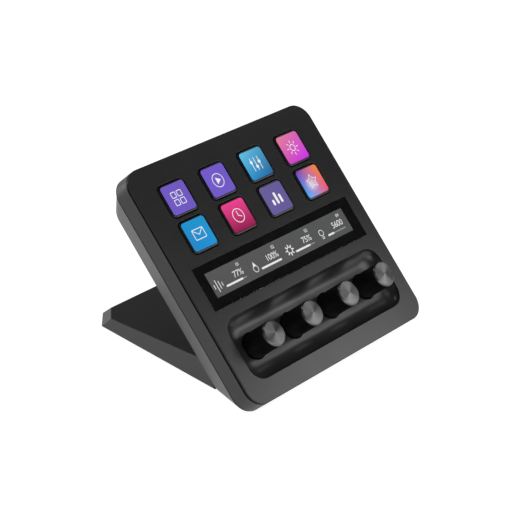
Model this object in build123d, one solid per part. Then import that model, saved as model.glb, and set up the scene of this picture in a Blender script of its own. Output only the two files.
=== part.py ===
"""Desk macro keypad: eight display keys, a touch strip and four push-and-turn knobs on a tilted deck.

The deck is modelled in its own frame: X across, Y up the face from its lower edge, Z out of the
face, with Z = 0 on the front of the face plate.  on_table() then tilts it back and stands it on
the table.  The stand, its weight and its pads are modelled in the table frame, where the origin is
under the middle of the whole keypad and Z = 0 is the table.
"""
from build123d import *
import os
from math import atan2, cos, radians, sin, sqrt, tan

os.makedirs("parts", exist_ok=True)

# ---------------------------------------------------------------- driving sizes, mm and degrees
face_width = 140.0
face_height = 131.2
face_corner = 10.0
deck_angle = 49.0           # tilt of the face above the table
deck_lift = 8.5             # height of the face's lower edge
overall_depth = 141.2       # lower edge of the face to the rear edge of the stand
edge_break = 0.3            # small bevel on the plate's edge
slip = 0.15                 # clearance round a piece dropped into a pocket
over = 1.0                  # how far a cutting block runs past what it cuts

plate_thick = 2.0
plate_rim = 0.7             # visible edge of the face plate
plate_inset = 1.6           # the plate's body sits this far inside its rim
seam_gap = 0.5              # shadow line under the rim

ring_depth = 11.2           # back edge of the front housing
ring_wall = 2.2
deck_floor = 6.6            # depth of the shelf that carries the key display
shelf_thick = 1.4
lower_shelf_back = 10.6     # the knobs' shelf lies deeper, under the dish
lower_shelf_thick = 1.6
shelf_split = 48.0          # height on the face where the two shelves meet

rear_seam = 0.4             # shadow line between the two housings
rear_seam_depth = 0.9
rear_start_inset = 0.3
rear_inset = 13.0           # how far the rear face's sides and lower edge lie inside the face outline
rear_top_inset = 4.6        # the same at its upper edge
rear_corner = 11.2          # rounding of the slanting corner edges
rear_depth = 33.0           # depth of the flat rear face
rear_wall = 2.2
rear_edge_bevel = 0.9

key_columns = 4
key_rows = 2
column_pitch = 29.84
row_pitch = 20.6
key_top_row = 109.9
key_width = 18.6
key_height = 17.9
key_corner = 2.7
key_proud = 0.6             # height of a key's top above the face
key_bevel = 0.75
key_gap = 0.45              # gap between key and face plate
key_travel = 1.2
key_ear = 2.7               # retaining ear on each side of a key
key_ear_thick = 0.9
key_ear_gap = 0.05
key_foot = 0.65             # the clear block below the ears
key_foot_inset = 0.8
key_guide_gap = 0.1
press_gap = 0.1             # left between a pressed key and what lies under it
key_foot_gap = 0.3          # round the foot in the mat's window

frame_margin_x = 4.0        # key frame beyond the outer ears
frame_margin_y = 3.5
mat_thick = 0.4
mat_ridge = 1.2             # width of the contact ridge under each ear
display_thick = 1.6
display_inset = 1.0

strip_width = 122.2         # touch strip window
strip_height = 23.84
strip_centre = 62.88
strip_corner = 0.8
glass_thick = 1.1
glass_bond = 0.05
strip_ledge = 2.6           # ledge that the glass rests on, at its ends
strip_side_ledge = 1.3      # the same along its long sides
module_thick = 2.6
module_gap = 0.4
rail_thick = 2.0

dish_width = 121.4          # finger dish round the knobs
dish_height = 34.2
dish_centre = 27.9
dish_corner = 8.5
dish_depth = 6.4
dish_end = 9.0              # length of the curved end wall
dish_wall = 1.6
dish_levels = 6             # outlines down its surface
dish_draft = 30.0           # of the tub behind it, in degrees

knob_radius = 6.85
knob_top = 12.15            # height of the knob's cap above the face
knob_base = 7.0             # depth of the knob's lower edge
knob_hole_gap = 0.5
knob_cap_thick = 1.1
knob_cap_inset = 0.25
knob_cap_chamfer = 0.4
knob_travel = 0.8

encoder_size = 12.4
encoder_thick = 6.5
shaft_radius = 3.0
shaft_fit = 0.05
shaft_hole_gap = 0.4        # round the shaft where it passes the shelf
shaft_into_body = 2.6
shaft_top = 5.6
plunger_thick = 1.6
plunger_room = 0.7          # left under a pressed plunger

board_thick = 1.6
main_board_depth = 12.0
main_board_half = 41.0
main_board_low = 53.5
main_board_high = 118.0
encoder_board_half = 52.5
encoder_board_height = 21.0

processor = (14.0, 14.0, 1.4)       # width, height and thickness of what sits behind the board
memory = (10.0, 8.0, 1.0)
regulator = (6.0, 6.0, 1.6)
display_plug = (22.0, 4.5, 2.0)
strip_plug = (16.0, 4.5, 2.0)
chip_gap = 9.0
chip_row = 12.0             # height of the chips' row above the board's middle
plug_row = -16.0            # the same of the plugs' row

post_size = 5.0
column_size = 7.0
column_split = 20.0
column_x = 48.0
column_low = 46.0
column_high = 108.0

port_centre = 72.0
port_width = 8.94
port_height = 3.2
port_wall = 0.3
port_length = 6.4
port_hole_gap = 0.3
port_back = 1.0             # thickness of the shell's closed end
port_recess = 0.4
port_board_half_width = 12.0
port_board_half_height = 7.5
port_post_x = 9.0
tongue_width = 6.7
tongue_thick = 0.7
tongue_recess = 0.8
cable_width = 8.0
cable_thick = 0.3

pad_thick = 1.0
pad_inset = 3.5
pad_corner = 4.0
front_pad_half_width = 48.0
front_pad_length = 12.0
front_pad_inset = 2.5

stand_corner_half = 42.8    # half width where the side meets the corner facet
stand_corner_back = 10.7    # that corner lies this far in front of the rear edge
stand_rear_half = 31.0
stand_front_top = 14.4
stand_rear_top = 7.9
rear_facet_lean = 52.0      # from the vertical
corner_facet_lean = 35.0
stand_wall = 2.4
stand_seam = 0.5            # shadow line where the stand meets the rear housing
stand_seam_depth = 0.9
stand_round = 0.7
cover_thick = 1.6
weight_thick = 4.0
weight_half_width = 38.0
weight_front = 54.0
weight_back = 110.0

# ---------------------------------------------------------------- sizes that follow
face_middle = face_height / 2
deck_front = -overall_depth / 2
big = 4 * face_width

key_xs = [(i - (key_columns - 1) / 2) * column_pitch for i in range(key_columns)]
key_ys = [key_top_row - j * row_pitch for j in range(key_rows)]
key_places = [(x, y) for y in key_ys for x in key_xs]
knob_xs = key_xs

ear_top = -plate_thick - key_ear_gap
ear_bottom = ear_top - key_ear_thick
key_bottom = ear_bottom - key_foot
ridge_top = ear_bottom - key_travel - press_gap
display_front = -deck_floor + display_thick
mat_front = display_front + mat_thick
ear_half_width = key_width / 2 + key_ear
shelf_back = -deck_floor - shelf_thick

strip_open_width = strip_width - 2 * strip_ledge
strip_open_height = strip_height - 2 * strip_side_ledge
module_back = -glass_thick - glass_bond - module_thick

encoder_front = -lower_shelf_back
encoder_back = encoder_front - encoder_thick
encoder_board_back = encoder_back - board_thick
plunger_front = encoder_front - shaft_into_body
plunger_back = plunger_front - plunger_thick
chamber_back = plunger_back - knob_travel - plunger_room

main_board_back = -main_board_depth - board_thick
rear_inside = -rear_depth + rear_wall
rear_front = -ring_depth - rear_seam
port_board_back = -rear_depth + port_recess + port_length
port_board_front = port_board_back + board_thick


# ---------------------------------------------------------------- helpers
def on_table(shape):
    """Tilt a shape from the deck frame and stand it on the table."""
    return Location((0, deck_front, deck_lift), (deck_angle, 0, 0)) * shape


def table_reach(height, z):
    """Distance behind the face's lower edge at which depth z of the deck has this height above the table."""
    y = (height - deck_lift - z * cos(radians(deck_angle))) / sin(radians(deck_angle))
    return y * cos(radians(deck_angle)) - z * sin(radians(deck_angle))


def prism(sketch, low, high):
    """Extrude a flat sketch between two heights of its own frame."""
    return extrude(Pos(0, 0, low) * sketch, amount=high - low)


def block(x, y, width, height, low, high, corner=0.0):
    """Upright block centred on (x, y), with rounded corners where corner is given."""
    flat = RectangleRounded(width, height, corner) if corner else Rectangle(width, height)
    return prism(Pos(x, y) * flat, low, high)


def disc(x, y, radius, low, high):
    """Round block centred on (x, y)."""
    return prism(Pos(x, y) * Circle(radius), low, high)


def outline(inset, corner):
    """Face outline, drawn in by inset."""
    return Pos(0, face_middle) * RectangleRounded(face_width - 2 * inset, face_height - 2 * inset, corner)


def slab(inset, low, high):
    """Slab with the face outline drawn in by inset."""
    return prism(outline(inset, face_corner - inset), low, high)


def band(low_y, high_y, low, high):
    """Full-width block between two heights on the face, used to cut or keep a part of a slab."""
    return block(0, (low_y + high_y) / 2, big, high_y - low_y, low, high)


def beyond(point, normal):
    """Everything on the far side of a plane."""
    half_space = Box(big, big, big, align=(Align.CENTER, Align.CENTER, Align.MIN))
    return Plane(origin=point, z_dir=normal) * half_space


def below_table(height):
    """Everything under a height above the table."""
    return beyond((0, 0, height), (0, 0, -1))


def edges_at(shape, height):
    """Edges that lie on one height of the shape's own frame."""
    return shape.edges().filter_by_position(Axis.Z, height - 0.001, height + 0.001)


def mirrored(x):
    """The same distance to the left and to the right of the middle."""
    return (-x, x)


def save(shape, name):
    """Write one node in the table frame."""
    shape.label = name
    export_step(shape, f"parts/{name}.step")


# ---------------------------------------------------------------- face plate
def dish_section(depth):
    """Outline of the dish at one depth: a circular arc up the face and elliptical end walls."""
    half = dish_height / 2
    arc = (half ** 2 + dish_depth ** 2) / (2 * dish_depth)
    half_now = sqrt(arc ** 2 - (arc - dish_depth + depth) ** 2)
    end_now = dish_end * (1 - sqrt(1 - (depth / dish_depth) ** 2))
    corner = min(dish_corner * (half_now / half) ** 0.8, half_now - 0.3)
    return Pos(0, dish_centre, -depth) * RectangleRounded(dish_width - 2 * end_now, 2 * half_now, corner)


def dish_body():
    """Solid that fills the finger dish, lofted through its outlines from the face down."""
    bottom = 0.985 * dish_depth
    depths = [bottom * sin(radians(90 * i / dish_levels)) for i in range(dish_levels + 1)]
    return loft([dish_section(depth) for depth in depths], ruled=True)


def dish_tub():
    """Drafted tub behind the face plate that the dish is sunk into."""
    back = Plane(origin=(0, dish_centre, -plate_thick), x_dir=(1, 0, 0), z_dir=(0, 0, -1))
    flat = back * RectangleRounded(dish_width + 2 * dish_wall, dish_height + 2 * dish_wall, dish_corner + dish_wall)
    return extrude(flat, amount=dish_depth + dish_wall - plate_thick, taper=dish_draft)


def make_face_plate():
    """Front cover with eight key windows, the touch window and the moulded finger dish."""
    rim = slab(0, -plate_rim, 0)
    plate = chamfer(edges_at(rim, 0), edge_break) + slab(plate_inset, -plate_thick, -plate_rim)
    plate += dish_tub()
    plate -= dish_body()
    for x, y in key_places:
        plate -= block(x, y, key_width + 2 * key_gap, key_height + 2 * key_gap, -big, over, key_corner + key_gap)
    plate -= block(0, strip_centre, strip_width, strip_height, -glass_thick - glass_bond, over, strip_corner)
    plate -= block(0, strip_centre, strip_open_width, strip_open_height, -plate_thick - over, over)
    for x in knob_xs:
        plate -= disc(x, dish_centre, knob_radius + knob_hole_gap, -big, over)
    return plate


# ---------------------------------------------------------------- front housing
def column_places():
    """Axes of the four columns that meet between the two housings."""
    return [(x, y) for x in mirrored(column_x) for y in (column_low, column_high)]


def main_post_places():
    """Posts that carry the main board."""
    ys = (main_board_low + post_size, main_board_high - post_size)
    return [(x, y) for x in mirrored(main_board_half - post_size) for y in ys]


def encoder_post_places():
    """Posts between the encoders that carry their board."""
    return [((a + b) / 2, dish_centre) for a, b in zip(knob_xs, knob_xs[1:])]


def make_front_housing():
    """Ring-shaped wall with two shelves inside, posts for the boards and the columns."""
    body = slab(0, -ring_depth, -plate_rim - seam_gap) - slab(ring_wall, -big, over)
    body -= slab(plate_inset - slip, -plate_thick, over)
    step = shelf_split + shelf_thick
    body += slab(ring_wall / 2, shelf_back, -deck_floor) & band(shelf_split, big, -big, 0)
    lower_front = -lower_shelf_back + lower_shelf_thick
    body += slab(ring_wall / 2, -lower_shelf_back, lower_front) & band(-big, step, -big, 0)
    body += slab(ring_wall / 2, -lower_shelf_back, -deck_floor) & band(shelf_split, step, -big, 0)
    rail_width = strip_open_width - 2 * module_gap
    rail_y = strip_open_height / 2 - module_gap - rail_thick / 2
    for y in (strip_centre - rail_y, strip_centre + rail_y):
        body += block(0, y, rail_width, rail_thick, -deck_floor, module_back)
    for x, y in column_places():
        body += block(x, y, column_size, column_size, -column_split, shelf_back if y > step else -lower_shelf_back)
    for x, y in main_post_places():
        body += block(x, y, post_size, post_size, -main_board_depth, shelf_back)
    for x, y in encoder_post_places():
        body += block(x, y, post_size, post_size, encoder_back, -lower_shelf_back)
    for x in knob_xs:
        body -= disc(x, dish_centre, shaft_radius + shaft_hole_gap, -big, 0)
    return body


# ---------------------------------------------------------------- rear housing
def rear_taper(wall):
    """Outer form of the rear housing, or its cavity where a wall is given."""
    body = band(0, face_height, rear_inside if wall else -rear_depth, rear_front)
    sides = {(-1, 0): rear_inset, (1, 0): rear_inset, (0, -1): rear_inset, (0, 1): rear_top_inset}
    for (across, up), end_inset in sides.items():
        lean = atan2(end_inset - rear_start_inset, rear_depth + rear_front)
        inset = rear_start_inset + wall / cos(lean)
        edge_x = across * (face_width / 2 - inset)
        edge_y = face_middle + up * (face_height / 2 - inset)
        body -= beyond((edge_x, edge_y, rear_front), (across * cos(lean), up * cos(lean), -sin(lean)))
    slanted = [e for e in body.edges() if abs(e.tangent_at(0).Z) > 0.1]
    body = fillet(slanted, rear_corner - wall)
    return body if wall else chamfer(edges_at(body, -rear_depth), rear_edge_bevel)


def make_rear_housing():
    """Tapered rear shell, cut flat along the table, with columns and the socket's posts."""
    outer = rear_taper(0) + slab(rear_seam_depth, rear_front, -ring_depth)
    mouth = rear_taper(rear_wall) + slab(rear_seam_depth + rear_wall, rear_front - over, 0)
    room = on_table(mouth) - below_table(pad_thick + rear_wall)
    shell = on_table(outer) - below_table(pad_thick) - room
    for x, y in column_places():
        shell += on_table(block(x, y, column_size, column_size, rear_inside, -column_split))
    for x in mirrored(port_post_x):
        shell += on_table(block(x, port_centre, post_size, post_size, rear_inside, port_board_back))
    width = port_width + 2 * port_hole_gap
    height = port_height + 2 * port_hole_gap
    port_hole = prism(Pos(0, port_centre) * SlotOverall(width, height), -rear_depth - over, rear_inside + over)
    return shell - on_table(port_hole)


# ---------------------------------------------------------------- touch strip
def make_touch_glass():
    """Cover glass of the touch strip, flush with the face."""
    return block(0, strip_centre, strip_width - 2 * slip, strip_height - 2 * slip, -glass_thick, 0, strip_corner)


def make_touch_display():
    """Display module bonded under the cover glass."""
    width = strip_open_width - 2 * module_gap
    return block(0, strip_centre, width, strip_open_height - 2 * module_gap, module_back, -glass_thick)


# ---------------------------------------------------------------- keys
def key_field(margin_x, margin_y):
    """Width, height and middle of the area that holds all keys, with a margin."""
    width = key_xs[-1] - key_xs[0] + 2 * ear_half_width + 2 * margin_x
    height = key_ys[0] - key_ys[-1] + key_height + 2 * margin_y
    return width, height, (key_ys[0] + key_ys[-1]) / 2


def make_key_cap(x, y):
    """One clear key: bevelled top, retaining ears and the block that reaches for the display."""
    cap = block(0, 0, key_width, key_height, ear_bottom, key_proud, key_corner)
    cap = chamfer(edges_at(cap, key_proud), key_bevel)
    cap += block(0, 0, 2 * ear_half_width, key_height - 2 * key_corner, ear_bottom, ear_top)
    foot_width = key_width - 2 * key_foot_inset
    foot_height = key_height - 2 * key_foot_inset
    return Pos(x, y) * (cap + block(0, 0, foot_width, foot_height, key_bottom, ear_bottom))


def make_key_frame():
    """Grid that guides the keys behind the face plate."""
    width, height, middle = key_field(frame_margin_x, frame_margin_y)
    frame = block(0, middle, width, height, mat_front, -plate_thick)
    for x, y in key_places:
        pocket_width = 2 * (ear_half_width + key_guide_gap)
        frame -= block(x, y, pocket_width, key_height + 2 * key_guide_gap, -big, over)
    return frame


def make_switch_mat():
    """Silicone mat with a contact ridge under each ear and a window under each key."""
    width, height, middle = key_field(frame_margin_x, frame_margin_y)
    mat = block(0, middle, width, height, display_front, mat_front)
    grow = key_foot_gap - key_foot_inset
    ridge_x = ear_half_width - key_ear / 2
    for x, y in key_places:
        mat -= block(x, y, key_width + 2 * grow, key_height + 2 * grow, -big, over)
        for side in mirrored(ridge_x):
            mat += block(x + side, y, mat_ridge, key_height / 2, mat_front, ridge_top)
    return mat


def make_key_display():
    """Display panel that lights all keys from behind."""
    width, height, middle = key_field(frame_margin_x - display_inset, frame_margin_y - display_inset)
    return block(0, middle, width, height, -deck_floor, display_front)


# ---------------------------------------------------------------- knobs and encoders
def make_knob_body(x):
    """Sleeve of a knob, bored from below for the shaft."""
    body = disc(0, 0, knob_radius, -knob_base, knob_top - knob_cap_thick)
    return Pos(x, dish_centre) * (body - disc(0, 0, shaft_radius, -knob_base - over, shaft_top))


def make_knob_cap(x):
    """Turned metal disc on top of a knob."""
    cap = disc(0, 0, knob_radius - knob_cap_inset, knob_top - knob_cap_thick, knob_top)
    return Pos(x, dish_centre) * chamfer(edges_at(cap, knob_top), knob_cap_chamfer)


def make_encoder_shaft(x):
    """Shaft from the push switch up into the knob."""
    return disc(x, dish_centre, shaft_radius, plunger_front, shaft_top)


def make_encoder_body(x):
    """Encoder case, bored for its shaft, with a square chamber for the push switch."""
    body = block(0, 0, encoder_size, encoder_size, encoder_back, encoder_front)
    body -= disc(0, 0, shaft_radius + shaft_fit, chamber_back + shaft_fit, encoder_front + over)
    chamber = 2 * (shaft_radius + shaft_fit)
    body -= block(0, 0, chamber, chamber, chamber_back, plunger_front + shaft_fit)
    return Pos(x, dish_centre) * body


def make_switch_plunger(x):
    """Square block under the shaft that works the push switch."""
    return block(x, dish_centre, 2 * shaft_radius, 2 * shaft_radius, plunger_back, plunger_front)


# ---------------------------------------------------------------- boards and socket
def make_main_board():
    """Main board on its four posts."""
    middle = (main_board_low + main_board_high) / 2
    height = main_board_high - main_board_low
    return block(0, middle, 2 * main_board_half, height, main_board_back, -main_board_depth)


def row_of_chips(sizes, y):
    """Blocks side by side behind the main board, centred across the deck."""
    left = -(sum(width for width, _, _ in sizes) + chip_gap * (len(sizes) - 1)) / 2
    row = Part()
    for width, height, thick in sizes:
        row += block(left + width / 2, y, width, height, main_board_back - thick, main_board_back)
        left += width + chip_gap
    return row


def make_board_chips():
    """Processor, memory, regulator and two cable connectors behind the main board."""
    middle = (main_board_low + main_board_high) / 2
    chips = row_of_chips((processor, memory, regulator), middle + chip_row)
    return chips + row_of_chips((display_plug, strip_plug), middle + plug_row)


def make_encoder_board():
    """Board that joins the four encoders."""
    return block(0, dish_centre, 2 * encoder_board_half, encoder_board_height, encoder_board_back, encoder_back)


def make_port_board():
    """Small board that carries the socket."""
    width = 2 * port_board_half_width
    return block(0, port_centre, width, 2 * port_board_half_height, port_board_back, port_board_front)


def make_port_shell():
    """Oval metal shell of the socket."""
    outer = Pos(0, port_centre) * SlotOverall(port_width, port_height)
    inner = Pos(0, port_centre) * SlotOverall(port_width - 2 * port_wall, port_height - 2 * port_wall)
    return prism(outer, -rear_depth + port_recess, port_board_back) - prism(inner, -big, port_board_back - port_back)


def make_port_tongue():
    """Contact tongue inside the socket."""
    front = -rear_depth + port_recess + tongue_recess
    return block(0, port_centre, tongue_width, tongue_thick, front, port_board_back - port_back)


def make_port_cable():
    """Flat cable between the main board and the socket's board."""
    y = port_centre + port_board_half_height - 2 * cable_thick
    return block(0, y, cable_width, cable_thick, port_board_front, main_board_back)


# ---------------------------------------------------------------- stand
def stand_plan(inset):
    """Stand outline on the table, drawn in by inset, open-ended towards the housing."""
    root = table_reach(pad_thick, -rear_depth)
    knee = overall_depth - stand_corner_back
    start = front_pad_length
    slope = (face_width / 2 - rear_inset - stand_corner_half) / (knee - root)
    right = [
        (stand_corner_half + slope * (knee - start), start),
        (stand_corner_half, knee),
        (stand_rear_half, overall_depth),
    ]
    left = [(-x, y) for x, y in reversed(right)]
    flat = make_face(Polyline(*right, *left, close=True))
    if inset:
        flat = offset(flat, amount=-inset, kind=Kind.INTERSECTION)
    return Pos(0, deck_front) * flat


def leaning_facet(corner, outward, lean, inset):
    """Everything outside a facet that rises from the table edge and leans back over the stand."""
    normal = (outward[0] * cos(radians(lean)), outward[1] * cos(radians(lean)), sin(radians(lean)))
    start = (corner[0], deck_front + corner[1], pad_thick)
    return beyond(tuple(a - inset * n for a, n in zip(start, normal)), normal)


def stand_block(inset, front):
    """Stand body drawn in by inset: upright sides, sloping top, leaning facets at the back.

    Its front face runs along the rear housing at a distance of front.
    """
    body = prism(stand_plan(inset), pad_thick, 2 * stand_front_top)
    top_reach = table_reach(stand_front_top, -rear_depth)
    facet_run = (stand_rear_top - pad_thick) * tan(radians(rear_facet_lean))
    fall = atan2(stand_front_top - stand_rear_top, overall_depth - facet_run - top_reach)
    body -= beyond((0, deck_front + top_reach, stand_front_top - inset), (0, sin(fall), cos(fall)))
    body -= leaning_facet((0, overall_depth), (0, 1), rear_facet_lean, inset)
    aside = stand_corner_half - stand_rear_half
    length = sqrt(aside ** 2 + stand_corner_back ** 2)
    for side in (-1, 1):
        outward = (side * stand_corner_back / length, aside / length)
        body -= leaning_facet((side * stand_rear_half, overall_depth), outward, corner_facet_lean, inset)
    return body - on_table(band(-big, big, -rear_depth - front, big))


def stand_skin():
    """Outer form of the stand with its upper edges rounded."""
    body = stand_block(0, stand_seam)
    root = deck_front + table_reach(stand_front_top, -rear_depth)
    upper = [e for e in body.edges() if e.bounding_box().max.Z > pad_thick + over]
    return fillet([e for e in upper if e.center().Y > root + over], stand_round)


def make_stand_shell():
    """Hollow stand, open below, its front wall lying on the rear housing inside the shadow line."""
    recess = prism(stand_plan(stand_wall), pad_thick - over, pad_thick + cover_thick)
    recess -= on_table(band(-big, big, -rear_depth - stand_wall, big))
    skin = stand_skin() + stand_block(stand_seam_depth, 0)
    return skin - stand_block(stand_wall, stand_wall) - recess


def make_stand_cover():
    """Plate that closes the stand from below."""
    cover = prism(stand_plan(stand_wall + slip), pad_thick, pad_thick + cover_thick)
    return cover - on_table(band(-big, big, -rear_depth - stand_wall - slip, big))


def make_stand_weight():
    """Steel plate on the cover that keeps the keypad from tipping."""
    low = pad_thick + cover_thick
    middle = deck_front + (weight_front + weight_back) / 2
    return block(0, middle, 2 * weight_half_width, weight_back - weight_front, low, low + weight_thick)


def make_stand_pad():
    """Rubber pad under the stand."""
    pad = prism(stand_plan(pad_inset), 0, pad_thick)
    front = table_reach(pad_thick, -rear_depth) + pad_inset
    return pad - block(0, deck_front, big, 2 * front, -over, pad_thick + over)


def make_front_pad():
    """Rubber strip under the front of the rear housing."""
    front = table_reach(pad_thick, rear_front) + 2 * front_pad_inset
    middle = deck_front + front + front_pad_length / 2
    return block(0, middle, 2 * front_pad_half_width, front_pad_length, 0, pad_thick, pad_corner)


# ---------------------------------------------------------------- build every node
deck_nodes = {
    "face_plate": make_face_plate,
    "front_housing": make_front_housing,
    "touch_glass": make_touch_glass,
    "touch_display": make_touch_display,
    "key_frame": make_key_frame,
    "switch_mat": make_switch_mat,
    "key_display": make_key_display,
    "main_board": make_main_board,
    "board_chips": make_board_chips,
    "encoder_board": make_encoder_board,
    "port_board": make_port_board,
    "usb_c_shell": make_port_shell,
    "usb_c_tongue": make_port_tongue,
    "port_cable": make_port_cable,
}
table_nodes = {
    "rear_housing": make_rear_housing,
    "stand_shell": make_stand_shell,
    "stand_cover": make_stand_cover,
    "stand_weight": make_stand_weight,
    "stand_pad": make_stand_pad,
    "front_pad": make_front_pad,
}
knob_nodes = {
    "encoder_body": make_encoder_body,
    "switch_plunger": make_switch_plunger,
    "encoder_shaft": make_encoder_shaft,
    "knob_body": make_knob_body,
    "knob_cap": make_knob_cap,
}

for name, make in deck_nodes.items():
    save(on_table(make()), name)
for name, make in table_nodes.items():
    save(make(), name)
for number, (x, y) in enumerate(key_places, start=1):
    save(on_table(make_key_cap(x, y)), f"key_cap_{number}")
for number, x in enumerate(knob_xs, start=1):
    for name, make in knob_nodes.items():
        save(on_table(make(x)), f"{name}_{number}")
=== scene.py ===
"""Dressed model of a desk macro keypad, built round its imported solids.

Eight lit display keys, a full-width touch strip and four push-and-turn knobs stand on a tilted
deck.  Each sub-assembly is a class whose fields hold its sizes in millimetres, measured in the
deck frame: x across, u up the face from its lower edge, n out of the face.  Its build method makes
the meshes, and its finishes are the small classes further up.
"""
import logging
from dataclasses import dataclass, field
from enum import Enum
from functools import cache
from math import cos, pi, radians, sin, sqrt, tan
from typing import Callable, Optional, Sequence, Union

import bmesh
import bpy
import numpy as np
from mathutils import Matrix, Vector
from mathutils.geometry import delaunay_2d_cdt


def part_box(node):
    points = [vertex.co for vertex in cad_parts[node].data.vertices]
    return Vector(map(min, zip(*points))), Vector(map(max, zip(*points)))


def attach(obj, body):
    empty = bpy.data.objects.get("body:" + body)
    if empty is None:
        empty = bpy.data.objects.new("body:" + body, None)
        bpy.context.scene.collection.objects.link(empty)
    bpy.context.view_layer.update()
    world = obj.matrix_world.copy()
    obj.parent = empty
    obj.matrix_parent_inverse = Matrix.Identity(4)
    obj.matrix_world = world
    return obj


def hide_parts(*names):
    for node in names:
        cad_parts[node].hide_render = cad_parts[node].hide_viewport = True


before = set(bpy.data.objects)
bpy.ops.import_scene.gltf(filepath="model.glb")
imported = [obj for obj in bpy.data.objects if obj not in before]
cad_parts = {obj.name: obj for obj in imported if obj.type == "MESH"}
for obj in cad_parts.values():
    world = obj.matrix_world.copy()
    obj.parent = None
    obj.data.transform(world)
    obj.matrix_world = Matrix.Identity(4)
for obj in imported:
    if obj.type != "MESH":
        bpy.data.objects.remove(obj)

Array = np.ndarray
Pair = tuple[float, float]
Triple = tuple[float, float, float]
Colour = Triple
Piece = bpy.types.Object
Node = bpy.types.Node
Socket = bpy.types.NodeSocket
Tree = bpy.types.NodeTree

MM = 0.001
TAU = 2 * pi
log = logging.getLogger("keypad")


# ------------------------------------------------------------------ the deck frame
@dataclass(frozen=True)
class Deck:
    """Frame of the tilted face, and its place in the row frame, in millimetres."""

    tilt: float
    front: float
    lift: float

    @classmethod
    def from_glass(cls, tilt_degrees: float, centre: float, thickness: float) -> "Deck":
        """Find the deck from the touch strip's glass.

        Args:
            tilt_degrees: lean of the face above the table.
            centre: height of the glass's middle on the face.
            thickness: of the glass, whose front lies on the face.

        Returns:
            The deck frame that puts that glass where the solid is.
        """
        tilt = radians(tilt_degrees)
        low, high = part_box("touch_glass")
        middle = (low + high) / 2 / MM
        depth = -thickness / 2
        front = middle.y - (cos(tilt) * centre - sin(tilt) * depth)
        lift = middle.z - (sin(tilt) * centre + cos(tilt) * depth)
        return cls(tilt, front, lift)

    def place(self, points: Array) -> Array:
        """Turn deck points in millimetres into row frame points in metres.

        Args:
            points: rows of x, u, n.

        Returns:
            Rows of x, y, z: the deck turned about x by its tilt, then moved to its lower edge.
        """
        x, u, n = points[:, 0], points[:, 1], points[:, 2]
        y = cos(self.tilt) * u - sin(self.tilt) * n + self.front
        z = sin(self.tilt) * u + cos(self.tilt) * n + self.lift
        return np.stack([x, y, z], axis=1) * MM

    def locate(self, points: Array) -> Array:
        """Turn row frame points back into deck points: the inverse of place.

        Args:
            points: rows of x, y, z in metres.

        Returns:
            Rows of x, u, n in millimetres.
        """
        x, y, z = points[:, 0] / MM, points[:, 1] / MM - self.front, points[:, 2] / MM - self.lift
        u = cos(self.tilt) * y + sin(self.tilt) * z
        n = -sin(self.tilt) * y + cos(self.tilt) * z
        return np.stack([x, u, n], axis=1)

    def matrix(self) -> Matrix:
        """The same placing as one matrix, for a mesh in deck millimetres."""
        turn = Matrix.Rotation(self.tilt, 4, "X")
        return Matrix.Scale(MM, 4) @ Matrix.Translation((0, self.front, self.lift)) @ turn

    def normal(self) -> Triple:
        """Direction that points out of the face, in the row frame."""
        return (0.0, -sin(self.tilt), cos(self.tilt))


# The lean of the face, the rows on it that several pieces share, and two thicknesses.
TILT_DEGREES = 49.0
STRIP_CENTRE = 62.88
KNOB_CENTRE = 27.9
PLATE_THICK = 2.0
SOLID_GLASS_THICK = 1.1
DECK = Deck.from_glass(TILT_DEGREES, STRIP_CENTRE, SOLID_GLASS_THICK)


# ------------------------------------------------------------------ outlines
def rounded_loop(
    width: float,
    height: float,
    corner: float,
    centre: Pair = (0.0, 0.0),
    arc: int = 8,
    runs: tuple[int, int] = (1, 1),
) -> Array:
    """Closed loop of a rectangle with rounded corners, counter-clockwise.

    Each corner is a quarter circle round its own middle, and the straight runs between them are
    divided evenly.

    Args:
        width: across x.
        height: across u.
        corner: radius of the corners.
        centre: middle of the loop.
        arc: pieces in each corner.
        runs: pieces in the straight runs along x and along u.

    Returns:
        Rows of x, u.
    """
    quarter = np.linspace(0, pi / 2, arc + 1)
    middles = [(1, 1), (-1, 1), (-1, -1), (1, -1)]
    parts: list[Array] = []
    for number, (sx, su) in enumerate(middles):
        angles = quarter + number * pi / 2
        x = sx * (width / 2 - corner) + corner * np.cos(angles)
        u = su * (height / 2 - corner) + corner * np.sin(angles)
        parts.append(np.stack([x, u], axis=1))
    whole: list[Array] = []
    for number, part in enumerate(parts):
        count = runs[number % 2]
        share = np.linspace(0, 1, count + 1)[1:-1, None]
        start, end = part[-1], parts[(number + 1) % 4][0]
        whole += [part, start + share * (end - start)]
    return np.concatenate(whole) + np.array(centre)


def grown(size: Triple, grow: float) -> Triple:
    """Width, height and corner radius of a rounded rectangle that is drawn out by grow."""
    return (size[0] + 2 * grow, size[1] + 2 * grow, size[2] + grow)


def circle_loop(radius: float, centre: Pair, count: int = 64) -> Array:
    """Closed circle round a centre, counter-clockwise, as rows of x, u."""
    angles = np.arange(count) * TAU / count
    return np.stack([np.cos(angles), np.sin(angles)], axis=1) * radius + np.array(centre)


def raised(loop: Array, height: float) -> Array:
    """Give a flat loop its height above the face."""
    return np.column_stack([loop, np.full(len(loop), float(height))])


def eased(start: Array, corner: Array, end: Array, steps: int = 4) -> list[Array]:
    """Loops that round an edge: each point runs on a parabola from start to end, pulled to corner."""
    shares = np.linspace(0, 1, steps + 1)
    return [(1 - s) ** 2 * start + 2 * s * (1 - s) * corner + s ** 2 * end for s in shares]


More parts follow.
